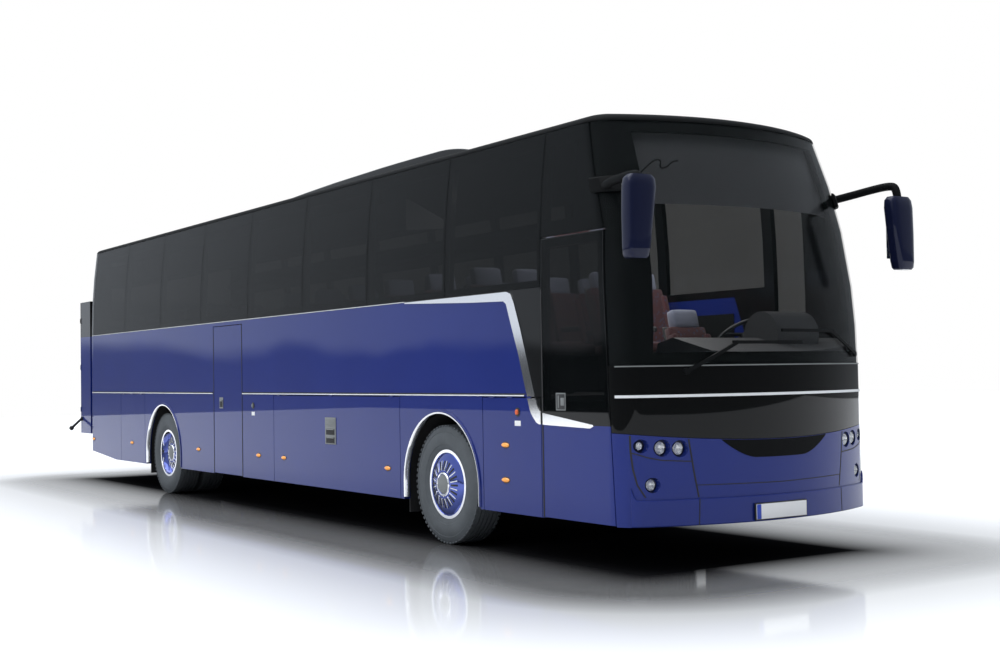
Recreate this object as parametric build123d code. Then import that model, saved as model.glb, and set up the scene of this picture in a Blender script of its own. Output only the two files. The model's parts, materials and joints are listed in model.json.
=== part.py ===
from build123d import *
import os
from math import atan2, cos, pi, radians, sin, sqrt

# Two-axle touring coach with a luggage box hung on its rear wall. Millimetres.
# +X is forwards, +Y is the coach's left, +Z is up. Places are worked out from the front axle, x = 0 on
# the ground, and every piece is moved on export so that the origin lies under the middle of the whole.

# Overall body
WHEELBASE = 7020.0
REAR_OVERHANG = 3150.0
BODY_HALF = 1275.0
SKIRT_Z = 355.0
STRIP_Z = 1307.0
SCREEN_Z = 1530.0
BELT_Z = 2157.0
CANT_Z = 3385.0
ROOF_RISE = 75.0
TUMBLE = 85.0
NOSE_X = 2860.0
NOSE_R = 2700.0
RAKE = 360.0
FRONT_CORNER_R = 240.0
REAR_CORNER_R = 110.0

# Wall build-up and clearances
WALL_T = 60.0
DOOR_T = 45.0
FLAP_T = 40.0
GLASS_T = 12.0
ROOF_T = 45.0
SEAT_GAP = 0.3
HUG = 0.5
PANEL_GAP = 8.0

# Side layout, x of the seams
DOOR_REAR_X = 1555.0
DOOR_FRONT_X = 2459.0
DOOR_LEAN = 0.047
SCREEN_TOP_X = 2100.0
DOOR_TOP_Z = 2545.0
DOOR_SILL_Z = 1190.0
DOOR_FRAME = 75.0
MID_DOOR_REAR_X = -5267.0
MID_DOOR_FRONT_X = -4385.0
MID_DOOR_TOP_Z = 2108.0
HOLD_FRONT_X = -711.0
HOLD_SPLIT_X = -3529.0
HOLD_REAR_X = -6340.0
SERVICE_REAR_X = 694.0
REAR_FLAP_FRONT_X = -7727.0
REAR_FLAP_REAR_X = -8743.0
FLAP_TOP_Z = 1288.0
DEPARTURE_X = -8940.0
DEPARTURE_RISE = 97.0
SIDE_PANES = 8
PILLAR_W = 120.0
DRIVER_SILL_Z = 1750.0
REAR_SILL_Z = 2277.0

# Front: the line between apron and bumper, and how far the screen's frame laps the glass
APRON_MID_Z = 965.0
APRON_SIDE_Z = 1045.0
SCREEN_LAP = 90.0
LAMP_DEPTH = 20.0

# Bright trim
TRIM_T = 8.0
STRIP_H = 14.0
STRIP_FRONT_X = 1330.0

# Running gear
TYRE_R = 522.0
TYRE_W = 295.0
BEAD_R = 290.0
WHEEL_Y = 1085.0
TWIN_PITCH = 340.0
KINGPIN_Y = 900.0
KINGPIN_R = 20.0
SPINDLE_R = 60.0
ARCH_R = 645.0
HOUSING_T = 12.0
COVER_SLOTS = 16
FRONT_DISH = 130.0
REAR_DISH = 45.0

# Floors and frame
FLOOR_Z = 1300.0
FLOOR_T = 50.0
PLATFORM_Z = 900.0
HOLD_FLOOR_Z = 400.0
HOLD_FLOOR_T = 35.0
RAIL_Y = 430.0
RAIL_W = 100.0
RAIL_H = 160.0
FRONT_RAIL_Z = 640.0
REAR_RAIL_Z = 700.0
PLATE_T = 40.0
JACK_X = (-1000.0, -6050.0)
JACK_Y = 1050.0
JACK_W = 150.0
JACK_H = 25.0
TOW_PIN_R = 20.0
TOW_X = 2690.0
ENGINE_BAY_X = -8250.0
FRONT_BEAM_HALF = 850.0
FRONT_BEAM_LOW_Z = 480.0
FRONT_BEAM_TOP_Z = 600.0

# Wells and steps
STEP_Z = 400.0
WELL_Y = 780.0
WELL_TREAD = 100.0
WELL_RISE = 300.0
ENTRANCE_Y = 560.0
ENTRANCE_TREAD = 320.0
ENTRANCE_RISE = 250.0
DRIVER_BAY_X = 1000.0
DRIVER_BAY_Y = 250.0

# Axles and hubs
BEAM_Z = 495.0
BEAM_HALF = 55.0
AXLE_R = 90.0
DIFF_R = 210.0
SPRING_R = 100.0
BOSS_R = 40.0
EYE_R = 42.0
EYE_LOW = 70.0
EYE_HIGH = 120.0
HUB_PLATE = (55.0, 85.0)
SPINDLE_END = 40.0

# Engine: x, half width and z of the block, and the arms that rest on the rails
ENGINE_X = (-9850.0, -8350.0)
ENGINE_HALF = 350.0
ENGINE_Z = (480.0, 1120.0)
ENGINE_ARM_X = (-9700.0, -8600.0)
ENGINE_ARM_HALF = 470.0
ENGINE_ARM_W = 100.0
ENGINE_ARM_TOP_Z = 900.0

# Hinges of flaps and box doors: pins on the body, eyes on what swings
HINGE_R = 3.0
HINGE_EYE = 2.0
HINGE_HALF = 30.0
HINGE_LUG = 8.0
HINGE_OUT = 6.0
HINGE_UP = 2.0
HINGE_ROOT = 12.0
HINGE_END = 150.0
BOX_HINGE_Z = (1050.0, 1690.0, 2400.0)
BOX_HINGE_REACH = 60.0

# Doors that swing out and forwards on a turning post
POST_BACK = 216.0
POST_IN = 145.0
POST_R = 25.0
FRONT_ARM = 450.0
MID_ARM = 486.0
ARM_W = 36.0
ARM_H = 60.0

# Seats
ROW_PITCH = 780.0
FIRST_ROW_X = 520.0
SEAT_ROWS = 13
AISLE_HALF = 210.0
DRIVER_SEAT_X = 1480.0
DRIVER_SEAT_Y = (320.0, 800.0)

# Driver's controls
WHEEL_CENTRE = (1900.0, 560.0, 1780.0)
WHEEL_RIM_R = 230.0
WHEEL_BAR_R = 15.0
COLUMN_TILT = 32.0
COLUMN_TOP = 60.0
COLUMN_LENGTH = 420.0
COLUMN_R = 35.0
BINNACLE = (2340.0, 1760.0, 190.0)
BINNACLE_Y = (330.0, 790.0)

# Rear luggage box
BOX_GAP = 55.0
BOX_DEPTH = 490.0
BOX_HALF = 1255.0
BOX_LOW_Z = 690.0
BOX_TOP_Z = 2680.0
BOX_T = 25.0
BOX_DOOR_GAP = 6.0
UPRIGHT_Y = 1080.0
UPRIGHT_W = 70.0
STALK_OUT = 200.0
STALK_DROP = 137.0
STALK_Z = 907.0
STALK_X = 70.0
STALK_R = 18.0
STALK_TIP_R = 35.0
STALK_ROOT = 14.0
TAIL_Y = (640.0, 800.0, 960.0)
TAIL_R = 60.0
TAIL_DROP = 62.0
TAIL_X = (40.0, 110.0)

# Mirrors and roof pod
MIRROR_X = 2890.0
MIRROR_Y = 1350.0
MIRROR_LOW_Z = 2275.0
MIRROR_H = 590.0
MIRROR_W = 250.0
MIRROR_DEPTH = 130.0
MIRROR_ROUND = 45.0
MIRROR_ARM_R = 28.0
MIRROR_SHOE_Z = (2820.0, 2940.0)
MIRROR_SHOE_X = (2140.0, 2460.0)
MIRROR_SHOE_Y = 1080.0
MIRROR_ARM = ((2300.0, 1180.0, 2880.0), (2640.0, 1310.0, 2930.0), (MIRROR_X, MIRROR_Y, 2850.0))
POD_REAR_X = -6400.0
POD_CREST_X = -1000.0
POD_FRONT_X = 0.0
POD_RISE = 180.0
POD_HALF = 690.0

# Worked out from the sizes above
REAR_X = -WHEELBASE - REAR_OVERHANG
NOSE_CENTRE_X = NOSE_X - NOSE_R
ROOF_Z = CANT_Z + ROOF_RISE
SIDE_R = ((CANT_Z - BELT_Z) ** 2 + TUMBLE ** 2) / (2 * TUMBLE)
RAKE_R = ((CANT_Z - SCREEN_Z) ** 2 + RAKE ** 2) / (2 * RAKE)
REAR_SEAM_X = REAR_X + REAR_CORNER_R + WALL_T
WALL_IN = BODY_HALF - WALL_T
BOX_FRONT_X = REAR_X - BOX_GAP
BOX_REAR_X = BOX_FRONT_X - BOX_DEPTH
FRONT_REACH = MIRROR_X + MIRROR_DEPTH / 2
SHIFT_X = -(FRONT_REACH + BOX_REAR_X) / 2
FAR = 1500.0

nodes = {}


def block(x0, x1, y0, y1, z0, z1):
    """A box between six planes."""
    return Pos((x0 + x1) / 2, (y0 + y1) / 2, (z0 + z1) / 2) * Box(x1 - x0, y1 - y0, z1 - z0)


def prism_y(points, y0, y1):
    """A prism along Y over a polygon of (x, z) corners."""
    outline = Wire.make_polygon([Vector(x, y0, z) for x, z in points], close=True)
    return Solid.extrude(Face(outline), Vector(0, y1 - y0, 0))


def prism_x(points, x0, x1):
    """A prism along X over a polygon of (y, z) corners."""
    outline = Wire.make_polygon([Vector(x0, y, z) for y, z in points], close=True)
    return Solid.extrude(Face(outline), Vector(x1 - x0, 0, 0))


def rod_x(y, z, radius, x0, x1):
    """A round bar along X."""
    return Pos((x0 + x1) / 2, y, z) * Rot(0, 90, 0) * Cylinder(radius, x1 - x0)


def rod_y(x, z, radius, y0, y1):
    """A round bar along Y."""
    return Pos(x, (y0 + y1) / 2, z) * Rot(90, 0, 0) * Cylinder(radius, abs(y1 - y0))


def rod_z(x, y, radius, z0, z1):
    """A round bar along Z."""
    return Pos(x, y, (z0 + z1) / 2) * Cylinder(radius, z1 - z0)


def rod_between(a, b, radius):
    """A round bar from one point to another."""
    a = Vector(a)
    b = Vector(b)
    return Solid.make_cylinder(radius, (b - a).length, Plane(a, z_dir=b - a))


def span(side, near, far):
    """The two y of a piece between two distances from the middle, in rising order."""
    return sorted((side * near, side * far))


def mirrored(shape):
    """The same shape on the coach's other side."""
    return mirror(shape, about=Plane.XZ)


def join(shapes):
    """Fuses a list of overlapping shapes into one."""
    whole = shapes[0]
    for shape in shapes[1:]:
        whole = whole + shape
    return whole


def group(shapes):
    """Keeps like pieces that do not touch as one compound."""
    return Compound(children=[s.solids()[0] if len(s.solids()) == 1 else Compound(children=s.solids())
                              for s in shapes])


def add(name, shape):
    """Keeps a finished piece under its node name."""
    nodes[name] = shape


# Body form


def set_back(z, start, radius):
    """How far an arc that starts upright at a height has moved in at z."""
    rise = max(0.0, z - start)
    return radius - sqrt(radius * radius - rise * rise)


def plan_outline(z, inset, shape_z=None):
    """The body seen from above at a height: straight sides, a bowed nose and round corners."""
    level = z if shape_z is None else shape_z
    half = BODY_HALF - set_back(level, BELT_Z, SIDE_R) - inset
    nose = NOSE_R - set_back(level, SCREEN_Z, RAKE_R) - inset
    corner = max(FRONT_CORNER_R - inset, FRONT_CORNER_R / 4)
    rear_corner = max(REAR_CORNER_R - inset, REAR_CORNER_R / 4)
    rear = REAR_X + inset
    corner_x = NOSE_CENTRE_X + sqrt((nose - corner) ** 2 - (half - corner) ** 2)
    scale = nose / (nose - corner)
    meet = (NOSE_CENTRE_X + (corner_x - NOSE_CENTRE_X) * scale, (half - corner) * scale)
    middle = (pi / 2 + atan2(half - corner, corner_x - NOSE_CENTRE_X)) / 2
    bend = (corner_x + corner * cos(middle), half - corner + corner * sin(middle))
    back = rear_corner * (1 - sqrt(0.5))

    def at(x, y):
        return Vector(x, y, z)

    return Wire([
        Edge.make_line(at(rear + rear_corner, half), at(corner_x, half)),
        Edge.make_three_point_arc(at(corner_x, half), at(*bend), at(*meet)),
        Edge.make_three_point_arc(at(*meet), at(NOSE_CENTRE_X + nose, 0), at(meet[0], -meet[1])),
        Edge.make_three_point_arc(at(meet[0], -meet[1]), at(bend[0], -bend[1]), at(corner_x, -half)),
        Edge.make_line(at(corner_x, -half), at(rear + rear_corner, -half)),
        Edge.make_three_point_arc(at(rear + rear_corner, -half), at(rear + back, back - half),
                                  at(rear, rear_corner - half)),
        Edge.make_line(at(rear, rear_corner - half), at(rear, half - rear_corner)),
        Edge.make_three_point_arc(at(rear, half - rear_corner), at(rear + back, half - back),
                                  at(rear + rear_corner, half)),
    ])


# Heights of the upper sections, as shares of the way from the screen's foot to the cant rail
BELT_SHARE = (BELT_Z - SCREEN_Z) / (CANT_Z - SCREEN_Z)
UPPER_SHARES = (0.0, BELT_SHARE / 2, BELT_SHARE, 0.585, 0.79, 1.0)


def body_form(inset, low=SKIRT_Z):
    """The closed body below the roof, drawn in by an inset and reaching down to a height."""
    lower = Solid.extrude(Face(plan_outline(SCREEN_Z, inset)), Vector(0, 0, low - SCREEN_Z))
    levels = [SCREEN_Z + share * (CANT_Z - SCREEN_Z) for share in UPPER_SHARES]
    upper = Solid.make_loft([plan_outline(z, inset) for z in levels], True)
    return lower + upper


# Roof sections: share of the roof's rise, inset from the cant rail
ROOF_SECTIONS = ((0.0, 0.0), (0.39, 16.0), (0.71, 59.0), (0.91, 117.0), (1.0, 200.0))


def roof_form(inset, rise):
    """The domed roof above the cant rail."""
    rings = [plan_outline(CANT_Z + share * rise, inset + shrink, CANT_Z) for share, shrink in ROOF_SECTIONS]
    return Solid.make_loft(rings)


outer = body_form(0.0)
lined = body_form(WALL_T, SKIRT_Z - FAR)
under_glass = body_form(GLASS_T + SEAT_GAP, SKIRT_Z - FAR)
clear_inside = body_form(WALL_T + SEAT_GAP, SKIRT_Z - FAR)
clear_low = Solid.extrude(Face(plan_outline(SCREEN_Z, WALL_T + SEAT_GAP)), Vector(0, 0, -FAR))
wall_shell = outer - lined
glass_skin = outer - body_form(GLASS_T, SKIRT_Z - FAR)
door_skin = outer - body_form(DOOR_T, SKIRT_Z - FAR)


def seam_x(z, offset=0.0):
    """The seam between the sides and the front: it leans, and leans further above the door."""
    door_x = DOOR_FRONT_X - (min(z, DOOR_TOP_Z) - SKIRT_Z) * DOOR_LEAN
    above = max(0.0, z - DOOR_TOP_Z) / (CANT_Z - DOOR_TOP_Z)
    return door_x + (SCREEN_TOP_X - door_x) * above + offset


def seam_points(z0, z1, offset):
    """The seam's corners between two heights, with its bend where that lies between them."""
    levels = [z0] + [DOOR_TOP_Z] * (z0 < DOOR_TOP_Z < z1) + [z1]
    return [(seam_x(z, offset), z) for z in levels]


def ahead_of_seam(z0, z1, offset=0.0):
    """Everything in front of the leaning seam between two heights."""
    ends = NOSE_X + FAR
    points = seam_points(z0, z1, offset) + [(ends, z1), (ends, z0)]
    return prism_y(points, -BODY_HALF - FAR, BODY_HALF + FAR)


def side_panel(x0, z0, z1, side, x1=None, offset=0.0):
    """A side region from x0 to x1, or to the leaning seam where x1 is None."""
    front = seam_points(z0, z1, offset) if x1 is None else [(x1, z0), (x1, z1)]
    points = [(x0, z0)] + front + [(x0, z1)]
    y0, y1 = span(side, WALL_IN - FAR / 2, BODY_HALF + FAR / 2)
    return prism_y(points, y0, y1)


def wheel_arch(x, side):
    """The round opening over a wheel, cut through a side wall."""
    y0, y1 = span(side, WALL_IN - FAR / 4, BODY_HALF + FAR / 4)
    return rod_y(x, TYRE_R, ARCH_R, y0, y1) + block(x - ARCH_R, x + ARCH_R, y0, y1, SKIRT_Z - FAR, TYRE_R)


RIGHT, LEFT = -1, 1
SIDE_NAMES = {RIGHT: "right", LEFT: "left"}
REAR_AXLE_X = -WHEELBASE

# Flaps: node name, side, rear x, front x
FLAPS = (
    ("service_flap_right", RIGHT, SERVICE_REAR_X, DOOR_REAR_X - PANEL_GAP),
    ("hold_flap_right", RIGHT, HOLD_SPLIT_X, HOLD_FRONT_X),
    ("rear_flap_right", RIGHT, REAR_FLAP_REAR_X, REAR_FLAP_FRONT_X),
    ("hold_flap_left_front", LEFT, HOLD_SPLIT_X, HOLD_FRONT_X),
    ("hold_flap_left_rear", LEFT, HOLD_REAR_X, HOLD_SPLIT_X - PANEL_GAP),
    ("rear_flap_left", LEFT, REAR_FLAP_REAR_X, REAR_FLAP_FRONT_X),
)

PANE_W = (DOOR_REAR_X - REAR_SEAM_X) / SIDE_PANES
departure_end = SKIRT_Z + DEPARTURE_RISE * (DEPARTURE_X - BOX_REAR_X) / (DEPARTURE_X - REAR_X)
departure = prism_y([(DEPARTURE_X, SKIRT_Z), (BOX_REAR_X, departure_end), (BOX_REAR_X, SKIRT_Z - FAR),
                     (DEPARTURE_X, SKIRT_Z - FAR)], -BODY_HALF - FAR, BODY_HALF + FAR)


def side_wall(side):
    """One thick side wall with its doors, flaps, arches and windows cut."""
    wall = wall_shell & side_panel(REAR_SEAM_X, SKIRT_Z, CANT_Z, side)
    bands = [side_panel(REAR_SEAM_X, BELT_Z, CANT_Z + 1, side, DOOR_REAR_X)]
    if side == RIGHT:
        bands.append(side_panel(DOOR_REAR_X - 1, DOOR_TOP_Z, CANT_Z + 1, side))
    else:
        bands.append(side_panel(DOOR_REAR_X - 1, DRIVER_SILL_Z, CANT_Z + 1, side))
    for band in bands:
        wall = wall - (band - under_glass)
    for pane in range(SIDE_PANES):
        rear = REAR_SEAM_X + pane * PANE_W
        wall = wall - side_panel(rear + PILLAR_W / 2, BELT_Z + PILLAR_W / 2, CANT_Z - PILLAR_W, side,
                                 rear + PANE_W - PILLAR_W / 2)
    for name, flap_side, rear, front in FLAPS:
        if flap_side == side:
            wall = wall - side_panel(rear, SKIRT_Z - 1, FLAP_TOP_Z + PANEL_GAP, side, front)
    if side == RIGHT:
        wall = wall - side_panel(DOOR_REAR_X, SKIRT_Z - 1, DOOR_TOP_Z, side, NOSE_X)
        wall = wall - side_panel(MID_DOOR_REAR_X, SKIRT_Z - 1, MID_DOOR_TOP_Z, side, MID_DOOR_FRONT_X)
        wall = wall - side_panel(DOOR_REAR_X + PILLAR_W / 2, DOOR_TOP_Z + PILLAR_W, CANT_Z - PILLAR_W, side,
                                 seam_x(CANT_Z) - PILLAR_W)
    else:
        wall = wall - side_panel(DOOR_REAR_X + PILLAR_W / 2, DRIVER_SILL_Z + PILLAR_W, CANT_Z - PILLAR_W,
                                 side, seam_x(CANT_Z) - PILLAR_W)
    for x in (0.0, REAR_AXLE_X):
        wall = wall - wheel_arch(x, side)
    return wall - departure


def side_panes(side):
    """The bonded panes of one side, flush with the wall below."""
    low_front = DOOR_TOP_Z if side == RIGHT else DRIVER_SILL_Z
    half = PANEL_GAP / 2
    panes = []
    for pane in range(SIDE_PANES):
        rear = REAR_SEAM_X + pane * PANE_W
        zone = side_panel(rear + half, BELT_Z + half, CANT_Z - half, side, rear + PANE_W - half)
        panes.append(glass_skin & zone)
    front_zone = side_panel(DOOR_REAR_X + half, low_front + half, CANT_Z - half, side, offset=-half)
    panes.append(glass_skin & front_zone)
    return panes


def flap_hinge(x, side):
    """One hinge of a flap: the pin and lugs under the wall's edge, and the flap's eye with its bore."""
    y = BODY_HALF + HINGE_OUT
    z = FLAP_TOP_Z + HINGE_UP
    reach = HINGE_HALF + HINGE_LUG
    fixed = rod_x(side * y, z, HINGE_R, x - reach, x + reach)
    for x0 in (x - reach, x + HINGE_HALF):
        y0, y1 = span(side, BODY_HALF - HINGE_ROOT, BODY_HALF)
        fixed = fixed + block(x0, x0 + HINGE_LUG, y0, y1, z, FLAP_TOP_Z + 1.5 * PANEL_GAP)
        y0, y1 = span(side, BODY_HALF - HINGE_R, y + HINGE_R)
        fixed = fixed + block(x0, x0 + HINGE_LUG, y0, y1, z, FLAP_TOP_Z + PANEL_GAP - HUG)
    run = HINGE_HALF - HINGE_EYE
    eye = rod_x(side * y, z, HINGE_R + HINGE_EYE, x - run, x + run)
    y0, y1 = span(side, BODY_HALF - HINGE_ROOT, y)
    eye = eye + block(x - run, x + run, y0, y1, FLAP_TOP_Z - HINGE_R, FLAP_TOP_Z)
    return fixed, eye, rod_x(side * y, z, HINGE_R + SEAT_GAP, x - reach, x + reach)


def flap_hinges(rear, front, side):
    """The three hinges along a flap's top edge."""
    return [flap_hinge(x, side) for x in (rear + HINGE_END, (rear + front) / 2, front - HINGE_END)]


for side in (RIGHT, LEFT):
    wall = side_wall(side)
    for name, flap_side, rear, front in FLAPS:
        if flap_side == side:
            wall = join([wall] + [fixed for fixed, eye, bore in flap_hinges(rear, front, side)])
    add("side_wall_" + SIDE_NAMES[side], wall)
add("side_glass", group(side_panes(RIGHT) + side_panes(LEFT)))

# Flaps hung at their top edges
for name, side, rear, front in FLAPS:
    y0, y1 = span(side, BODY_HALF - FLAP_T, BODY_HALF)
    flap = block(rear + PANEL_GAP, front - PANEL_GAP, y0, y1, SKIRT_Z, FLAP_TOP_Z)
    for fixed, eye, bore in flap_hinges(rear, front, side):
        flap = flap + eye - bore
    add(name, flap)

# Front door with its own glass
door_region = side_panel(DOOR_REAR_X + PANEL_GAP, SKIRT_Z + PANEL_GAP, DOOR_TOP_Z - PANEL_GAP, RIGHT,
                         offset=-PANEL_GAP)
door_glass_region = side_panel(DOOR_REAR_X + 2 * PANEL_GAP, DOOR_SILL_Z, DOOR_TOP_Z - 2 * PANEL_GAP, RIGHT,
                               offset=-2 * PANEL_GAP)
door_window = side_panel(DOOR_REAR_X + DOOR_FRAME, DOOR_SILL_Z + DOOR_FRAME,
                         DOOR_TOP_Z - DOOR_FRAME - PANEL_GAP, RIGHT, offset=-DOOR_FRAME - PANEL_GAP)
front_door = (door_skin & door_region) - (door_glass_region - under_glass) - door_window


def swing_arms(front_x, length, heights, low, high):
    """A turning post with an arm at each height, and the lugs on the door that the arms carry.

    Args: the door's front edge, the arms' length, the arms' heights and the post's ends.
    Returns: the post with its arms, and the door's lugs.
    """
    post_x = front_x - POST_BACK
    post_y = -BODY_HALF + POST_IN
    arms = [rod_z(post_x, post_y, POST_R, low, high)]
    lugs = []
    for z in heights:
        arm = block(post_x - length, post_x, post_y - ARM_W / 2, post_y + ARM_W / 2, z, z + ARM_H)
        eye = rod_z(post_x - length, post_y, ARM_W, z, z + ARM_H)
        pin = rod_z(post_x - length, post_y, ARM_W / 4 + SEAT_GAP, z - ARM_H, z + ARM_H)
        arms.append(arm + eye - pin)
        reach = block(post_x - length - ARM_W, post_x - length + ARM_W, -BODY_HALF + DOOR_T, post_y,
                      z - ARM_H / 2 - SEAT_GAP, z - SEAT_GAP)
        nose = rod_z(post_x - length, post_y, ARM_W, z - ARM_H / 2 - SEAT_GAP, z - SEAT_GAP)
        lugs.append(reach + nose + rod_z(post_x - length, post_y, ARM_W / 4, z - ARM_H / 2, z + ARM_H))
    return join(arms), lugs


FRONT_ARM_Z = (1020.0, DOOR_SILL_Z - ARM_H)
MID_ARM_Z = (900.0, 1900.0)
front_arms, front_lugs = swing_arms(DOOR_FRONT_X, FRONT_ARM, FRONT_ARM_Z, STEP_Z + SEAT_GAP,
                                    DOOR_SILL_Z + ARM_H)
mid_arms, mid_lugs = swing_arms(MID_DOOR_FRONT_X, MID_ARM, MID_ARM_Z, STEP_Z + SEAT_GAP,
                                MID_ARM_Z[1] + 2 * ARM_H)
add("front_door", join([front_door] + front_lugs))
add("front_door_glass", glass_skin & door_glass_region)
add("front_door_arms", front_arms)
mid_door = block(MID_DOOR_REAR_X + PANEL_GAP, MID_DOOR_FRONT_X - PANEL_GAP, -BODY_HALF, -BODY_HALF + DOOR_T,
                 SKIRT_Z + PANEL_GAP, MID_DOOR_TOP_Z - PANEL_GAP)
add("mid_door", join([mid_door] + mid_lugs))
add("mid_door_arms", mid_arms)

# Front: frame behind the glass, windscreen, black apron and bumper
frame_ring = (wall_shell & ahead_of_seam(SCREEN_Z, CANT_Z)) & under_glass
screen_half = BODY_HALF - TUMBLE - 2 * PILLAR_W
screen_foot = screen_half + SCREEN_LAP
hole_low = SCREEN_Z + SCREEN_LAP
hole_top = CANT_Z - SCREEN_LAP
screen_hole = prism_x([(-screen_foot, hole_low), (screen_foot, hole_low), (screen_half, hole_top),
                       (-screen_half, hole_top)], NOSE_CENTRE_X, NOSE_X + FAR)
add("windscreen_frame", frame_ring - screen_hole)
add("windscreen", glass_skin & ahead_of_seam(SCREEN_Z + PANEL_GAP / 2, CANT_Z - PANEL_GAP / 2, PANEL_GAP / 2))

lower_front = wall_shell & ahead_of_seam(SKIRT_Z, SCREEN_Z)


def below_apron(lift):
    """The bumper's zone: everything below a shallow arc that sags at the middle."""
    y = BODY_HALF + SCREEN_LAP
    arc = Edge.make_three_point_arc(Vector(0, -y, APRON_SIDE_Z + lift), Vector(0, 0, APRON_MID_Z + lift),
                                    Vector(0, y, APRON_SIDE_Z + lift))
    rest = Wire.make_polygon([Vector(0, y, APRON_SIDE_Z + lift), Vector(0, y, SKIRT_Z - FAR),
                              Vector(0, -y, SKIRT_Z - FAR), Vector(0, -y, APRON_SIDE_Z + lift)], close=False)
    return Solid.extrude(Face(Wire([arc] + rest.edges())), Vector(NOSE_X + FAR, 0, 0))


# Lamps each side: y, z, radius
LAMPS = ((869.0, 918.0, 62.0), (999.0, 925.0, 62.0), (1143.0, 942.0, 50.0), (1069.0, 658.0, 55.0))
bumper = lower_front & below_apron(0.0)
apron = lower_front - below_apron(PANEL_GAP / 2)
lamp_layer = body_form(LAMP_DEPTH, SKIRT_Z - FAR) - clear_inside
lamps = []
for side in (RIGHT, LEFT):
    for y, z, radius in LAMPS:
        bumper = bumper - rod_x(side * y, z, radius, NOSE_CENTRE_X, NOSE_X + FAR)
        lamps.append(lamp_layer & rod_x(side * y, z, radius - SEAT_GAP, NOSE_CENTRE_X, NOSE_X + FAR))
add("front_bumper", bumper)
add("front_apron", apron)
add("head_lamps", group(lamps))

# Rear wall, rear window and roof
rear_zone = block(REAR_X - FAR, REAR_SEAM_X, -BODY_HALF - FAR, BODY_HALF + FAR, SKIRT_Z, CANT_Z)
rear_half = BODY_HALF - TUMBLE - REAR_CORNER_R
rear_pane = block(REAR_X - FAR, REAR_SEAM_X - REAR_CORNER_R, -rear_half, rear_half, REAR_SILL_Z,
                  CANT_Z - PANEL_GAP)
rear_hole = block(REAR_X - FAR, REAR_SEAM_X + FAR, -rear_half + PILLAR_W, rear_half - PILLAR_W,
                  REAR_SILL_Z + PILLAR_W, CANT_Z - PILLAR_W)
add("rear_wall", (wall_shell & rear_zone) - (rear_pane - under_glass) - rear_hole - departure)
half_gap = PANEL_GAP / 2
rear_zone = block(REAR_X - FAR, REAR_X + WALL_T, half_gap - rear_half, rear_half - half_gap,
                  REAR_SILL_Z + half_gap, CANT_Z - 2 * PANEL_GAP)
add("rear_window", glass_skin & rear_zone)
roof_core = roof_form(WALL_T, ROOF_RISE - ROOF_T)
roof_mouth = Solid.extrude(Face(plan_outline(CANT_Z, WALL_T)), Vector(0, 0, -ROOF_T))
add("roof", roof_form(0.0, ROOF_RISE) - roof_core - roof_mouth)

# Roof pod: a hump that climbs slowly from the rear and falls away in front of its crest


def pod_point(x, share):
    """A point of the pod's outline at a share of its rise."""
    return Vector(x, -POD_HALF, ROOF_Z + share * POD_RISE)


POD_BULGE = 0.78
climb_mid = pod_point((POD_REAR_X + POD_CREST_X) / 2, POD_BULGE)
fall_mid = pod_point((POD_CREST_X + POD_FRONT_X) / 2, POD_BULGE)
pod_climb = Edge.make_three_point_arc(pod_point(POD_REAR_X, 0), climb_mid, pod_point(POD_CREST_X, 1))
pod_fall = Edge.make_three_point_arc(pod_point(POD_CREST_X, 1), fall_mid, pod_point(POD_FRONT_X, 0))
pod_base = Edge.make_line(pod_point(POD_FRONT_X, 0), pod_point(POD_REAR_X, 0))
add("roof_pod", Solid.extrude(Face(Wire([pod_climb, pod_fall, pod_base])), Vector(0, 2 * POD_HALF, 0)))

# Bright trim: side strips, and the kinked flash behind the front door down to the flap's seam
FLASH = ((-587.0, 2149.0), (-588.0, 2138.0), (539.0, 2089.0), (1045.0, 2074.0), (1084.0, 2050.0),
         (1149.0, 1884.0), (1244.0, 1653.0), (1329.0, 1401.0), (1364.0, 1300.0), (1472.0, 1300.0),
         (1407.0, 1486.0), (1337.0, 1686.0), (1281.0, 1844.0), (1194.0, 2057.0), (1149.0, 2130.0),
         (1090.0, 2149.0))
STRIPS = {RIGHT: ((REAR_SEAM_X, MID_DOOR_REAR_X), (MID_DOOR_FRONT_X, STRIP_FRONT_X)),
          LEFT: ((REAR_SEAM_X, STRIP_FRONT_X),)}
trim = []
for side in (RIGHT, LEFT):
    y0, y1 = span(side, BODY_HALF + HUG, BODY_HALF + TRIM_T)
    trim.append(prism_y(FLASH, y0, y1))
    for rear, front in STRIPS[side]:
        trim.append(block(rear + PANEL_GAP, front - PANEL_GAP, y0, y1, STRIP_Z - STRIP_H / 2,
                          STRIP_Z + STRIP_H / 2))
add("bright_trim", group(trim))

# Floors and steps, drawn in clear of the walls
mid_well = (MID_DOOR_REAR_X, MID_DOOR_FRONT_X)
deck = block(REAR_X, DOOR_REAR_X - 2 * PLATE_T, -BODY_HALF, BODY_HALF, FLOOR_Z - FLOOR_T, FLOOR_Z)
deck = deck - block(mid_well[0], mid_well[1], -BODY_HALF, -WELL_Y, FLOOR_Z - FAR, FLOOR_Z + 1)
deck = deck - block(DRIVER_BAY_X, DOOR_REAR_X, DRIVER_BAY_Y, BODY_HALF, FLOOR_Z - FAR, FLOOR_Z + 1)
deck_front = DOOR_REAR_X - 2 * PLATE_T
low_edge = PLATFORM_Z - FLOOR_T
riser = block(deck_front, deck_front + PLATE_T, -BODY_HALF, DRIVER_BAY_Y, low_edge, FLOOR_Z)
riser = riser + block(DRIVER_BAY_X, deck_front, DRIVER_BAY_Y - PLATE_T, DRIVER_BAY_Y, low_edge, FLOOR_Z)
riser = riser + block(DRIVER_BAY_X - PLATE_T, DRIVER_BAY_X, DRIVER_BAY_Y - PLATE_T, BODY_HALF, low_edge,
                      FLOOR_Z)
platform = block(deck_front, NOSE_X, -ENTRANCE_Y, BODY_HALF, PLATFORM_Z - FLOOR_T, PLATFORM_Z)
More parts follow.
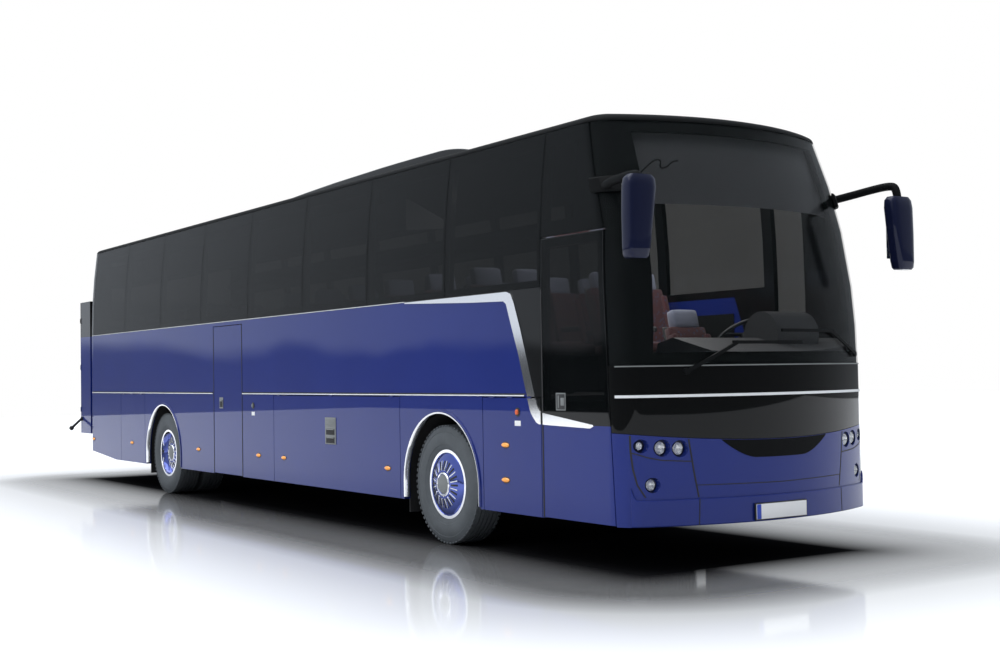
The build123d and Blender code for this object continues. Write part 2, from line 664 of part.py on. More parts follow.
platform = platform + block(DRIVER_BAY_X - PLATE_T, deck_front, DRIVER_BAY_Y - PLATE_T, BODY_HALF, low_edge,
                            PLATFORM_Z)
steps = [block(deck_front, deck_front + PLATE_T, -BODY_HALF, -ENTRANCE_Y, STEP_Z - PLATE_T, PLATFORM_Z),
         block(DOOR_REAR_X - PLATE_T, DOOR_FRONT_X, -BODY_HALF, -ENTRANCE_Y, STEP_Z - PLATE_T, STEP_Z),
         block(DOOR_REAR_X - PLATE_T, DOOR_FRONT_X, -ENTRANCE_Y - ENTRANCE_TREAD, -ENTRANCE_Y, STEP_Z,
               STEP_Z + ENTRANCE_RISE),
         block(deck_front, DOOR_FRONT_X, -ENTRANCE_Y, -ENTRANCE_Y + PLATE_T, STEP_Z, PLATFORM_Z)]
well = [block(mid_well[0], mid_well[1], -BODY_HALF, -WELL_Y, STEP_Z - PLATE_T, STEP_Z)]
for tread in range(3):
    edge = -WELL_Y - WELL_TREAD * (3 - tread)
    top = STEP_Z + WELL_RISE * (tread + 1)
    well.append(block(mid_well[0], mid_well[1], edge, -WELL_Y + PLATE_T, STEP_Z, top))
floor_deck = join([deck, riser, platform] + steps + well) & clear_low
add("floor_deck", floor_deck)

# Underframe: hold floor, bulkheads, rails and cross members
hold_low = HOLD_FLOOR_Z - HOLD_FLOOR_T
under_deck = FLOOR_Z - FLOOR_T
frame = [block(HOLD_REAR_X + PLATE_T, HOLD_FRONT_X - PLATE_T, -BODY_HALF, BODY_HALF, hold_low, HOLD_FLOOR_Z)]
for x in (HOLD_REAR_X + PLATE_T, HOLD_FRONT_X - 2 * PLATE_T):
    frame.append(block(x, x + PLATE_T, -BODY_HALF, BODY_HALF, hold_low, under_deck))
for side in (RIGHT, LEFT):
    y0 = side * RAIL_Y - RAIL_W / 2
    y1 = side * RAIL_Y + RAIL_W / 2
    frame.append(block(HOLD_FRONT_X - 2 * PLATE_T, DOOR_REAR_X - 2 * PLATE_T, y0, y1, FRONT_RAIL_Z,
                       FRONT_RAIL_Z + RAIL_H))
    frame.append(block(REAR_X, HOLD_REAR_X + PLATE_T, y0, y1, REAR_RAIL_Z, REAR_RAIL_Z + RAIL_H))
frame.append(block(ENGINE_BAY_X, ENGINE_BAY_X + PLATE_T, -BODY_HALF, BODY_HALF, REAR_RAIL_Z, under_deck))
well_cut = block(mid_well[0] - PANEL_GAP, mid_well[1] + PANEL_GAP, -BODY_HALF, 2 * PLATE_T - WELL_Y,
                 SKIRT_Z - FAR, under_deck)
underframe = join(frame) & clear_low
front_beam = block(seam_x(SKIRT_Z) + PLATE_T, NOSE_X, -FRONT_BEAM_HALF, FRONT_BEAM_HALF, FRONT_BEAM_LOW_Z,
                   FRONT_BEAM_TOP_Z) & clear_low
front_legs = []
for side in (RIGHT, LEFT):
    y0 = side * RAIL_Y - RAIL_W / 2
    y1 = side * RAIL_Y + RAIL_W / 2
    front_legs.append(block(DOOR_REAR_X - PLATE_T, DOOR_FRONT_X + 2 * PLATE_T, y0, y1, FRONT_BEAM_LOW_Z,
                            FRONT_BEAM_TOP_Z))
pads = [Pos(x, side * JACK_Y, hold_low - JACK_H / 2) * Box(JACK_W, JACK_W, JACK_H) for x in JACK_X
        for side in (RIGHT, LEFT)]
add("underframe", join([underframe - well_cut] + pads))
add("front_beam", join([front_beam] + front_legs) - rod_z(TOW_X, 0, TOW_PIN_R, 0, PLATFORM_Z))

# Axles
axle = [block(-BEAM_HALF, BEAM_HALF, -KINGPIN_Y, KINGPIN_Y, BEAM_Z - BEAM_HALF, BEAM_Z + BEAM_HALF)]
for side in (RIGHT, LEFT):
    axle.append(rod_z(0, side * KINGPIN_Y, BOSS_R, BEAM_Z - EYE_LOW + 5, BEAM_Z + EYE_LOW - 5))
    axle.append(rod_z(0, side * KINGPIN_Y, KINGPIN_R, BEAM_Z - EYE_HIGH, BEAM_Z + EYE_HIGH))
    axle.append(rod_z(0, side * RAIL_Y, SPRING_R, BEAM_Z, FRONT_RAIL_Z))
add("front_axle", join(axle))
rear_in = WHEEL_Y - TWIN_PITCH - TYRE_W / 2
rear_axle = [rod_y(REAR_AXLE_X, TYRE_R, AXLE_R, -rear_in, rear_in)]
rear_axle.append(Pos(REAR_AXLE_X, 0, TYRE_R) * Sphere(DIFF_R))
hub_end = WHEEL_Y + SPINDLE_END
for side in (RIGHT, LEFT):
    rear_axle.append(rod_y(REAR_AXLE_X, TYRE_R, SPINDLE_R, side * (rear_in - HUG), side * hub_end))
    rear_axle.append(rod_z(REAR_AXLE_X, side * RAIL_Y, SPRING_R, TYRE_R, REAR_RAIL_Z))
add("rear_axle", join(rear_axle))
for side in (RIGHT, LEFT):
    eyes = []
    for z0, z1 in ((BEAM_Z - EYE_HIGH, BEAM_Z - EYE_LOW), (BEAM_Z + EYE_LOW, BEAM_Z + EYE_HIGH)):
        eyes.append(rod_z(0, side * KINGPIN_Y, EYE_R, z0, z1))
        y0, y1 = span(side, KINGPIN_Y, KINGPIN_Y + HUB_PLATE[1] - HUB_PLATE[0] / 5)
        eyes.append(block(-EYE_R, EYE_R, y0, y1, z0, z1))
    y0, y1 = span(side, KINGPIN_Y + HUB_PLATE[0], KINGPIN_Y + HUB_PLATE[1])
    plate = block(-SPINDLE_R, SPINDLE_R, y0, y1, BEAM_Z - EYE_HIGH, BEAM_Z + EYE_HIGH)
    spindle = rod_y(0, TYRE_R, SPINDLE_R, side * (KINGPIN_Y + SPINDLE_R), side * hub_end)
    bore = rod_z(0, side * KINGPIN_Y, KINGPIN_R + SEAT_GAP, 0, TYRE_R + FAR)
    add("knuckle_" + SIDE_NAMES[side], join([plate, spindle] + eyes) - bore)


# Wheels


def ring(points):
    """Turns a closed outline of (radius, offset) corners about a wheel's axis, offset outwards along +Y."""
    outline = Wire.make_polygon([Vector(r, t, 0) for r, t in points], close=True)
    return Solid.revolve(Face(outline), 360, Axis.Y)


half_w = TYRE_W / 2
TYRE_OUTLINE = ((BEAD_R, -105), (395, -half_w), (TYRE_R, -122), (TYRE_R, 122), (395, half_w), (BEAD_R, 105))
INNER_TYRE_OUTLINE = ((BEAD_R, -105), (TYRE_R, -140), (TYRE_R, 140), (BEAD_R, 105))
seat_r = BEAD_R - SEAT_GAP
BARREL = ((seat_r, -112), (seat_r, 112), (seat_r + 14, 112), (seat_r + 14, 120), (seat_r - 12, 120),
          (seat_r - 12, -120), (seat_r + 14, -120), (seat_r + 14, -112))
HUB_BORE = SPINDLE_R + SEAT_GAP


def wheel(dish):
    """A rim with its slotted cover: dish is how far the cover stands out of the rim's middle."""
    cover = ring(((seat_r - 4, dish - 30), (230, dish), (130, dish + 25), (95, dish + 35), (0, dish + 40),
                  (0, dish + 20), (90, dish + 16), (130, dish + 8), (230, dish - 16),
                  (seat_r - 4, dish - 42)))
    hub = ring(((HUB_BORE, -85), (150, -85), (150, dish + 9), (HUB_BORE, dish + 20)))
    body = ring(BARREL) + cover + hub
    slot = block(-9, 9, dish - 60, dish + 60, 180, 235)
    for turn in range(COVER_SLOTS):
        body = body - Rot(0, 360 / COVER_SLOTS * turn, 0) * slot
    return body


front_wheel = wheel(FRONT_DISH)
twin_inner = ring(BARREL) + ring(((HUB_BORE, 40), (seat_r - 6, 40), (seat_r - 6, 62), (HUB_BORE, 62)))
joiner = ring(((HUB_BORE, 50), (190, 50), (190, TWIN_PITCH - 70), (HUB_BORE, TWIN_PITCH - 70)))
rear_wheel = Pos(0, TWIN_PITCH, 0) * wheel(REAR_DISH) + twin_inner + joiner
front_tyre = ring(TYRE_OUTLINE)
rear_tyres = [Pos(0, TWIN_PITCH, 0) * ring(TYRE_OUTLINE), ring(INNER_TYRE_OUTLINE)]
for side in (RIGHT, LEFT):
    turn = Rot(0, 0, 0) if side == LEFT else Rot(0, 0, 180)
    front_place = Pos(0, side * WHEEL_Y, TYRE_R) * turn
    rear_place = Pos(REAR_AXLE_X, side * (WHEEL_Y - TWIN_PITCH), TYRE_R) * turn
    add("front_rim_" + SIDE_NAMES[side], front_place * front_wheel)
    add("front_tyre_" + SIDE_NAMES[side], front_place * front_tyre)
    add("rear_rims_" + SIDE_NAMES[side], rear_place * rear_wheel)
    add("rear_tyres_" + SIDE_NAMES[side], group([rear_place * tyre for tyre in rear_tyres]))

# Wheel housings with mud flaps
housing_out = WALL_IN - SEAT_GAP
HOUSING_R = ARCH_R + 3.0
# Each housing's x and inner face
HOUSINGS = ((0.0, 525.0), (REAR_AXLE_X, 540.0))
MUD_FLAP_Z = 230.0
housings = []
for side in (RIGHT, LEFT):
    for x, inner_y in HOUSINGS:
        y0, y1 = span(side, inner_y, housing_out)
        shell = rod_y(x, TYRE_R, HOUSING_R + HOUSING_T, y0, y1) - rod_y(x, TYRE_R, HOUSING_R, y0 - 1, y1 + 1)
        shell = shell - block(x - FAR, x + FAR, y0 - 1, y1 + 1, TYRE_R - FAR, TYRE_R)
        skirt_y0, skirt_y1 = span(side, inner_y + WALL_T, housing_out)
        flap = block(x - HOUSING_R - HOUSING_T, x - HOUSING_R, skirt_y0, skirt_y1, MUD_FLAP_Z, TYRE_R + HUG)
        housings.append(shell + flap)
add("wheel_housings", group(housings))

# Engine, one block on the rear rails
engine = block(*ENGINE_X, -ENGINE_HALF, ENGINE_HALF, *ENGINE_Z)
for x in ENGINE_ARM_X:
    engine = engine + block(x, x + ENGINE_ARM_W, -ENGINE_ARM_HALF, ENGINE_ARM_HALF, REAR_RAIL_Z + RAIL_H,
                            ENGINE_ARM_TOP_Z)
add("engine_block", engine)

# Driver's place
DASH = ((2050, 1480), (2120, 1700), (2300, 1740), (NOSE_X, 1600), (NOSE_X, 1420), (2280, PLATFORM_Z),
        (2200, PLATFORM_Z))
dash = prism_y(DASH, -ENTRANCE_Y, BODY_HALF) & clear_inside
column_dir = Vector(-sin(radians(COLUMN_TILT)), 0, cos(radians(COLUMN_TILT)))
column_top = Vector(*WHEEL_CENTRE) - column_dir * COLUMN_TOP
column = rod_between(column_top, Vector(*WHEEL_CENTRE) - column_dir * COLUMN_LENGTH, COLUMN_R)
add("dashboard", dash + column + rod_y(*BINNACLE, *BINNACLE_Y))
wheel_place = Plane(WHEEL_CENTRE, x_dir=(0, 1, 0), z_dir=column_dir)
boss = Cylinder(COLUMN_R + WHEEL_BAR_R / 5, COLUMN_TOP - SEAT_GAP)
steering = Torus(WHEEL_RIM_R, WHEEL_BAR_R) + Pos(0, 0, -COLUMN_TOP / 2 + SEAT_GAP / 2) * boss
spoke = 2 * WHEEL_RIM_R - WHEEL_BAR_R / 2
steering = steering + Box(spoke, COLUMN_R, WHEEL_BAR_R) + Box(COLUMN_R, spoke, WHEEL_BAR_R)
add("steering_wheel", wheel_place * steering)

# Seats: a profile in (x, z) above its floor, drawn along Y
SEAT_PROFILE = ((-200, 0), (120, 0), (120, 330), (250, 350), (250, 450), (-120, 430), (-310, 1120),
                (-420, 1130), (-250, 330), (-200, 330))


def seat(x, floor, y0, y1):
    """One seat or bench with its back."""
    return prism_y([(x + dx, floor + dz) for dx, dz in SEAT_PROFILE], y0, y1)


seats = [seat(DRIVER_SEAT_X, PLATFORM_Z, *DRIVER_SEAT_Y)]
wall_side = WALL_IN - TUMBLE - 2.5 * PANEL_GAP
seat_rear, seat_front = SEAT_PROFILE[7][0], SEAT_PROFILE[4][0]
for row in range(SEAT_ROWS):
    x = FIRST_ROW_X - ROW_PITCH * row
    seats.append(seat(x, FLOOR_Z, AISLE_HALF, wall_side))
    if x + seat_front < mid_well[0] or x + seat_rear > mid_well[1]:
        seats.append(seat(x, FLOOR_Z, -wall_side, -AISLE_HALF))
add("seats", group(seats))

# Mirrors on bent arms from the screen pillars
hug = body_form(-HUG)
shoe_zone = block(*MIRROR_SHOE_X, MIRROR_SHOE_Y, MIRROR_Y, *MIRROR_SHOE_Z)
shoe = (body_form(-MIRROR_ARM_R) - hug) & shoe_zone
head = Pos(MIRROR_X, MIRROR_Y, MIRROR_LOW_Z + MIRROR_H / 2) * Box(MIRROR_DEPTH, MIRROR_W, MIRROR_H)
head = fillet(head.edges().filter_by(Axis.Z), MIRROR_ROUND)
root, elbow, end = MIRROR_ARM
arm = rod_between(root, elbow, MIRROR_ARM_R) + Pos(*elbow) * Sphere(MIRROR_ARM_R)
arm = arm + rod_between(elbow, end, MIRROR_ARM_R)
left_mirror = shoe + (arm - hug) + head
add("mirrors", group([left_mirror, mirrored(left_mirror)]))

# Wipers lying on the glass
WIPER_OUT = 26.0
WIPER_LIFT = 10.0
WIPER_BOSS_R = 24.0
ARM_HALF = 14.0
BLADE_HALF = 12.0
BLADE_LAP = 40.0
near_glass = body_form(-WIPER_OUT) - body_form(-WIPER_LIFT)
to_glass = body_form(-WIPER_OUT) - hug
# Each wiper's pivot, elbow and tip as (y, z)
WIPERS = (((-820, 1480), (-400, 1690), (250, 1690)), ((1060, 1600), (640, 1780), (30, 1780)))
wipers = []
for pivot, elbow, tip in WIPERS:
    under = [(y, z - ARM_HALF) for y, z in (pivot, elbow)]
    over = [(y, z + ARM_HALF) for y, z in (elbow, pivot)]
    arm_strip = prism_x(under + over, NOSE_CENTRE_X, NOSE_X + FAR)
    lean = 1 if tip[0] > elbow[0] else -1
    low, high = sorted((elbow[0] - lean * BLADE_LAP, tip[0]))
    blade = block(NOSE_CENTRE_X, NOSE_X + FAR, low, high, tip[1] - BLADE_HALF, tip[1] + BLADE_HALF)
    boss = to_glass & rod_x(pivot[0], pivot[1], WIPER_BOSS_R, NOSE_CENTRE_X, NOSE_X + FAR)
    wipers.append((near_glass & (arm_strip + blade)) + boss)
add("wipers", group(wipers))

# Luggage box on the rear wall, its two doors and its stalk lamps
box_shell = block(BOX_REAR_X + BOX_T + BOX_DOOR_GAP, BOX_FRONT_X, -BOX_HALF, BOX_HALF, BOX_LOW_Z, BOX_TOP_Z)
box_shell = box_shell - block(BOX_REAR_X - FAR, BOX_FRONT_X - BOX_T, BOX_T - BOX_HALF, BOX_HALF - BOX_T,
                              BOX_LOW_Z + BOX_T, BOX_TOP_Z - BOX_T)
for side in (RIGHT, LEFT):
    y0, y1 = span(side, UPRIGHT_Y, UPRIGHT_Y + UPRIGHT_W)
    box_shell = box_shell + block(BOX_FRONT_X, REAR_X, y0, y1, BOX_LOW_Z + UPRIGHT_W, BELT_Z + UPRIGHT_W)
for side in (RIGHT, LEFT):
    y0, y1 = span(side, BOX_DOOR_GAP / 2, BOX_HALF)
    door = block(BOX_REAR_X, BOX_REAR_X + BOX_T, y0, y1, BOX_LOW_Z, BOX_TOP_Z)
    pin_x = BOX_REAR_X + BOX_T / 2
    pin_y = BOX_HALF + HINGE_OUT
    run = HINGE_HALF - HINGE_EYE
    reach = HINGE_HALF + HINGE_LUG
    for z in BOX_HINGE_Z:
        box_shell = box_shell + rod_z(pin_x, side * pin_y, HINGE_R, z - reach, z + reach)
        for z0 in (z - reach, z + HINGE_HALF):
            y0, y1 = span(side, pin_y - HINGE_R, pin_y + HINGE_R)
            box_shell = box_shell + block(pin_x, BOX_REAR_X + BOX_HINGE_REACH, y0, y1, z0, z0 + HINGE_LUG)
            y0, y1 = span(side, BOX_HALF - HINGE_R, pin_y + HINGE_R)
            box_shell = box_shell + block(BOX_REAR_X + BOX_T + 2 * BOX_DOOR_GAP, BOX_REAR_X + BOX_HINGE_REACH,
                                          y0, y1, z0, z0 + HINGE_LUG)
        y0, y1 = span(side, BOX_HALF - HINGE_R, pin_y)
        eye = rod_z(pin_x, side * pin_y, HINGE_R + HINGE_EYE, z - run, z + run)
        eye = eye + block(pin_x - HINGE_R, pin_x + HINGE_R, y0, y1, z - run, z + run)
        door = door + eye - rod_z(pin_x, side * pin_y, HINGE_R + SEAT_GAP, z - reach, z + reach)
    add("box_door_" + SIDE_NAMES[side], door)
add("luggage_box", box_shell)
stalk_x = BOX_REAR_X + STALK_X
base_half = STALK_R + BOX_T / 2
tail = []
for side in (RIGHT, LEFT):
    root = (stalk_x, side * (BOX_HALF + STALK_ROOT), STALK_Z)
    tip = (stalk_x, side * (BOX_HALF + STALK_OUT - STALK_TIP_R), STALK_Z - STALK_DROP)
    y0, y1 = span(side, BOX_HALF, BOX_HALF + STALK_R)
    base = block(stalk_x - base_half, stalk_x + base_half, y0, y1, STALK_Z - base_half, STALK_Z + base_half)
    tail.append(base + rod_between(root, tip, STALK_R) + Pos(*tip) * Sphere(STALK_TIP_R))
    for y in TAIL_Y:
        lamp = rod_x(side * y, BOX_LOW_Z - TAIL_DROP, TAIL_R, BOX_REAR_X + TAIL_X[0], BOX_REAR_X + TAIL_X[1])
        foot = block(BOX_REAR_X + TAIL_X[0] + BOX_T, BOX_REAR_X + TAIL_X[1] - BOX_T, side * y - STALK_R,
                     side * y + STALK_R, BOX_LOW_Z - TAIL_R / 2, BOX_LOW_Z)
        tail.append(lamp + foot)
add("tail_lamps", group(tail))

# Write each piece in the frame whose origin is under the middle of the whole
os.makedirs("parts", exist_ok=True)
for name, shape in nodes.items():
    placed = Pos(SHIFT_X, 0, 0) * shape
    export_step(placed, os.path.join("parts", name + ".step"))
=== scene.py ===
"""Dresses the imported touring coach: finishes, smooth panels, wheels, lamps, fittings, seats and the studio.

Lengths are metres in the row frame. Places along the coach are given from the front axle, as in the part's
source, and moved by the axle's place in the frame.
"""

from __future__ import annotations

import json
import logging
import math
from dataclasses import dataclass, field
from enum import Enum
from typing import Callable, Iterable, Sequence

import bmesh
import bpy
from mathutils import Matrix, Vector

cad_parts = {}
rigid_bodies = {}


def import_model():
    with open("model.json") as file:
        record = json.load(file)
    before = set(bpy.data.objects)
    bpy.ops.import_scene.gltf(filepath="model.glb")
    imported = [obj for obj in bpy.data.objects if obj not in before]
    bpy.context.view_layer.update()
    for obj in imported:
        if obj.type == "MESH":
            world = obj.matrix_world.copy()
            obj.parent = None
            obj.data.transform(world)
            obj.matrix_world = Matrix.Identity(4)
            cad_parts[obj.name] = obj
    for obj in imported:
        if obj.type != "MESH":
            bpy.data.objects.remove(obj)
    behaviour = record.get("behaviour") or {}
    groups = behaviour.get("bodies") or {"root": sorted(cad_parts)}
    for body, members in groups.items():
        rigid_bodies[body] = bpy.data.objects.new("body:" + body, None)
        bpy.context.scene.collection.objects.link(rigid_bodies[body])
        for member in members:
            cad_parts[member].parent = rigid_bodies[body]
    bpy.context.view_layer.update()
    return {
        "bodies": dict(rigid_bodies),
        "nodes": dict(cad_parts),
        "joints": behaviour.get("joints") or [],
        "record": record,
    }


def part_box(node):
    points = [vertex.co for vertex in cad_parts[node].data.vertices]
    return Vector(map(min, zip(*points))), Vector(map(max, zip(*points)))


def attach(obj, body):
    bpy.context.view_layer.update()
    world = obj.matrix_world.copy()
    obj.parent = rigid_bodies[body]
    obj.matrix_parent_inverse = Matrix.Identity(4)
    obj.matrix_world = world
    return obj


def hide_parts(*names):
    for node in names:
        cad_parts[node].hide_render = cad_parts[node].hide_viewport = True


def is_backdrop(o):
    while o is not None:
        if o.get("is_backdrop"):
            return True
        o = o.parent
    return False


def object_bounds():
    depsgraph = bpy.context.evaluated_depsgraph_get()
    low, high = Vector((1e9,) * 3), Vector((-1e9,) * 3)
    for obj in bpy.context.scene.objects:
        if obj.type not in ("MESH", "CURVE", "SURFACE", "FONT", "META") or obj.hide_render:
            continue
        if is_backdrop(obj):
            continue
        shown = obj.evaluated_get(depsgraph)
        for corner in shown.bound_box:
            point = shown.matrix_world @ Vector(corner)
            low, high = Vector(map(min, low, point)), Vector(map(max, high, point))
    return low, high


LOG = logging.getLogger("coach")
Point = Sequence[float]
ORIGIN = (0.0, 0.0, 0.0)
FULL_TURN = 2.0 * math.pi


class Side(Enum):
    """The coach's two sides, by the sign of y."""

    RIGHT = -1
    LEFT = 1

    @property
    def word(self) -> str:
        """The side's name as the nodes spell it."""
        return self.name.lower()


class Axis(Enum):
    """The row frame's axes."""

    X = 0
    Y = 1
    Z = 2


# Finishes


class Wiring:
    """Lays out the nodes of one shader tree."""

    def __init__(self, tree: bpy.types.NodeTree) -> None:
        """Takes the tree to lay out."""
        self.tree = tree

    def feed(self, socket: bpy.types.NodeSocket, value: object) -> None:
        """Links a value into a socket, or sets a number or a colour on it."""
        if isinstance(value, bpy.types.NodeSocket):
            self.tree.links.new(value, socket)
        elif isinstance(value, tuple):
            socket.default_value = (*value, 1.0)
        else:
            socket.default_value = value

    def math(self, operation: str, a: object, b: object = 0.0) -> bpy.types.NodeSocket:
        """Adds a math node.

        Args:
            operation: The math node's operation.
            a: A number or a socket.
            b: A number or a socket.

        Returns:
            The node's value.
        """
        node = self.tree.nodes.new("ShaderNodeMath")
        node.operation = operation
        self.feed(node.inputs[0], a)
        self.feed(node.inputs[1], b)
        return node.outputs[0]

    def blend(self, factor: bpy.types.NodeSocket, low: object, high: object) -> bpy.types.NodeSocket:
        """Mixes two colours by a value.

        Args:
            factor: 0 gives the low colour and 1 the high one.
            low: A colour or a socket.
            high: A colour or a socket.

        Returns:
            The mixed colour.
        """
        node = self.tree.nodes.new("ShaderNodeMix")
        node.data_type = "RGBA"
        self.feed(node.inputs["Factor"], factor)
        self.feed(node.inputs["A"], low)
        self.feed(node.inputs["B"], high)
        return node.outputs["Result"]

    def smooth_step(self, value: bpy.types.NodeSocket, low: float, high: float) -> bpy.types.NodeSocket:
        """Rises smoothly from 0 to 1 between two values."""
        node = self.tree.nodes.new("ShaderNodeMapRange")
        node.interpolation_type = "SMOOTHSTEP"
        node.inputs["From Min"].default_value = low
        node.inputs["From Max"].default_value = high
        self.feed(node.inputs["Value"], value)
        return node.outputs["Result"]


class NodeBench(Wiring):
    """Small helper that lays out a material's shader nodes."""

    def __init__(self, name: str) -> None:
        """Starts an empty material with a Principled shader.

        Args:
            name: The material's name.
        """
        self.material = bpy.data.materials.new(name)
        self.material.use_nodes = True
        super().__init__(self.material.node_tree)
        self.shader = self.tree.nodes["Principled BSDF"]
        self.coords = self.tree.nodes.new("ShaderNodeTexCoord").outputs["Object"]

    def put(self, socket: str, value: object) -> None:
        """Sets one of the shader's own sockets."""
        self.shader.inputs[socket].default_value = value

    def join(self, source: bpy.types.NodeSocket, socket: str) -> None:
        """Links a value into one of the shader's sockets."""
        self.tree.links.new(source, self.shader.inputs[socket])

    def noise(self, scale: float, detail: float = 2.0) -> bpy.types.NodeSocket:
        """Adds noise on object coordinates.

        Args:
            scale: Lumps in a metre.
            detail: Octaves of finer noise.

        Returns:
            The noise value.
        """
        node = self.tree.nodes.new("ShaderNodeTexNoise")
        node.inputs["Scale"].default_value = scale
        node.inputs["Detail"].default_value = detail
        self.feed(node.inputs["Vector"], self.coords)
        return node.outputs["Fac"]

    def axis(self, axis: Axis) -> bpy.types.NodeSocket:
        """One object coordinate as a value."""
        node = self.tree.nodes.new("ShaderNodeSeparateXYZ")
        self.tree.links.new(self.coords, node.inputs[0])
        return node.outputs[axis.value]

    def ramp(self, value: bpy.types.NodeSocket, low: float, high: float) -> bpy.types.NodeSocket:
        """Maps a 0 to 1 value onto a range."""
        node = self.tree.nodes.new("ShaderNodeMapRange")
        node.inputs["To Min"].default_value = low
        node.inputs["To Max"].default_value = high
        self.tree.links.new(value, node.inputs["Value"])
        return node.outputs["Result"]

    def bump(self, height: bpy.types.NodeSocket, distance: float, strength: float = 1.0) -> None:
        """Bumps the surface by a height of that distance in metres."""
        node = self.tree.nodes.new("ShaderNodeBump")
        node.inputs["Distance"].default_value = distance
        node.inputs["Strength"].default_value = strength
        self.tree.links.new(height, node.inputs["Height"])
        self.join(node.outputs["Normal"], "Normal")


@dataclass(frozen=True)
class PanelPaint:
    """Clear-coated metallic paint, with a black zone behind the bright flash where it is two-tone."""

    name: str
    colour: Point
    shade: Point
    two_tone: bool = False
    metallic: float = 0.20
    rough: float = 0.30
    base_index: float = 1.12
    coat_index: float = 1.26
    axle_x: float = 0.0
    black: Point = (0.004, 0.0045, 0.005)
    belt_z: float = 2.147
    strip_z: float = 1.085
    flash: tuple = ((1.500, 1.135, 1.420, 1.290), (1.420, 1.290, 1.125, 2.097))

    def build(self) -> bpy.types.Material:
        """Makes the material.

        Returns:
            The finished material.
        """
        bench = NodeBench(self.name)
        flake = bench.noise(900.0, 1.0)
        cloud = bench.noise(1.1, 3.0)
        colour = bench.blend(cloud, self.shade, self.colour)
        metal = bench.ramp(flake, self.metallic - 0.12, self.metallic + 0.12)
        if self.two_tone:
            mask = self._black_zone(bench)
            colour = bench.blend(mask, colour, self.black)
            metal = bench.math("MULTIPLY", metal, bench.math("SUBTRACT", 1.0, mask))
        bench.join(colour, "Base Color")
        bench.join(metal, "Metallic")
        bench.join(bench.ramp(bench.noise(40.0), self.rough - 0.04, self.rough + 0.04), "Roughness")
        bench.put("IOR", self.base_index)
        bench.put("Coat Weight", 1.0)
        bench.put("Coat IOR", self.coat_index)
        bench.put("Coat Roughness", 0.015)
        bench.bump(bench.noise(0.9, 2.0), 0.004, 0.35)
        return bench.material

    def _black_zone(self, bench: NodeBench) -> bpy.types.NodeSocket:
        """A value of 1 where the side is black: in front of the flash's slope and above the belt."""
        x = bench.math("SUBTRACT", bench.axis(Axis.X), self.axle_x)
        z = bench.axis(Axis.Z)
        mask = bench.math("GREATER_THAN", z, self.strip_z)
        for x0, z0, x1, z1 in self.flash:
            slope = (x1 - x0) / (z1 - z0)
            edge = bench.math("ADD", bench.math("MULTIPLY", z, slope), x0 - slope * z0)
            mask = bench.math("MULTIPLY", mask, bench.math("GREATER_THAN", x, edge))
        return bench.math("MAXIMUM", mask, bench.math("GREATER_THAN", z, self.belt_z))


@dataclass(frozen=True)
class TintedGlass:
    """Tinted glass with a slight waviness: a dark gloss that lets part of the light through."""

    name: str
    tint: Point
    cover: float
    wave: float = 0.0
    index: float = 1.45

    def build(self) -> bpy.types.Material:
        """Makes the material.

        Returns:
            The finished material.
        """
        bench = NodeBench(self.name)
        shade = tuple(0.7 * part for part in self.tint)
        bench.join(bench.blend(bench.noise(0.6), shade, self.tint), "Base Color")
        bench.join(bench.ramp(bench.noise(1.7), self.cover - 0.015, self.cover + 0.015), "Alpha")
        bench.put("Roughness", 0.01)
        bench.put("IOR", self.index)
        if self.wave:
            bench.bump(bench.noise(1.4, 1.0), self.wave, 0.3)
        return bench.material


@dataclass(frozen=True)
class Solid:
    """A plain class of finish: colour that varies a little, grain in the roughness and a fine bump."""

    name: str
    colour: Point
    rough: float = 0.5
    metallic: float = 0.0
    grain: float = 300.0
    relief: float = 0.0001
    vary: float = 0.2
    coat: float = 0.0
    sheen: float = 0.0
    glow: float = 0.0
    index: float = 1.5

    def build(self) -> bpy.types.Material:
        """Makes the material.

        Returns:
            The finished material.
        """
        bench = NodeBench(self.name)
        low = tuple(part * (1.0 - self.vary) for part in self.colour)
        high = tuple(min(1.0, part * (1.0 + self.vary)) for part in self.colour)
        bench.join(bench.blend(bench.noise(7.0, 4.0), low, high), "Base Color")
        dull, keen = min(1.0, self.rough * 1.15), self.rough * 0.85
        bench.join(bench.ramp(bench.noise(55.0, 3.0), keen, dull), "Roughness")
        bench.put("Metallic", self.metallic)
        bench.put("IOR", self.index)
        bench.put("Coat Weight", self.coat)
        bench.put("Sheen Weight", self.sheen)
        if self.glow:
            bench.put("Emission Color", (*self.colour, 1.0))
            bench.put("Emission Strength", self.glow)
        bench.bump(bench.noise(self.grain, 2.0), self.relief)
        return bench.material


@dataclass(frozen=True)
class PatternCloth:
    """Seat cloth: a woven ground with a small fleck pattern."""

    name: str
    ground: Point
    fleck: Point

    def build(self) -> bpy.types.Material:
        """Makes the material.

        Returns:
            The finished material.
        """
        bench = NodeBench(self.name)
        fleck = bench.tree.nodes.new("ShaderNodeTexVoronoi")
        fleck.inputs["Scale"].default_value = 26.0
        bench.tree.links.new(bench.coords, fleck.inputs["Vector"])
        near = bench.math("LESS_THAN", fleck.outputs["Distance"], 0.28)
        bench.join(bench.blend(near, self.ground, self.fleck), "Base Color")
        bench.put("Roughness", 0.9)
        bench.put("Sheen Weight", 0.3)
        bench.bump(bench.noise(900.0, 1.0), 0.0006)
        return bench.material


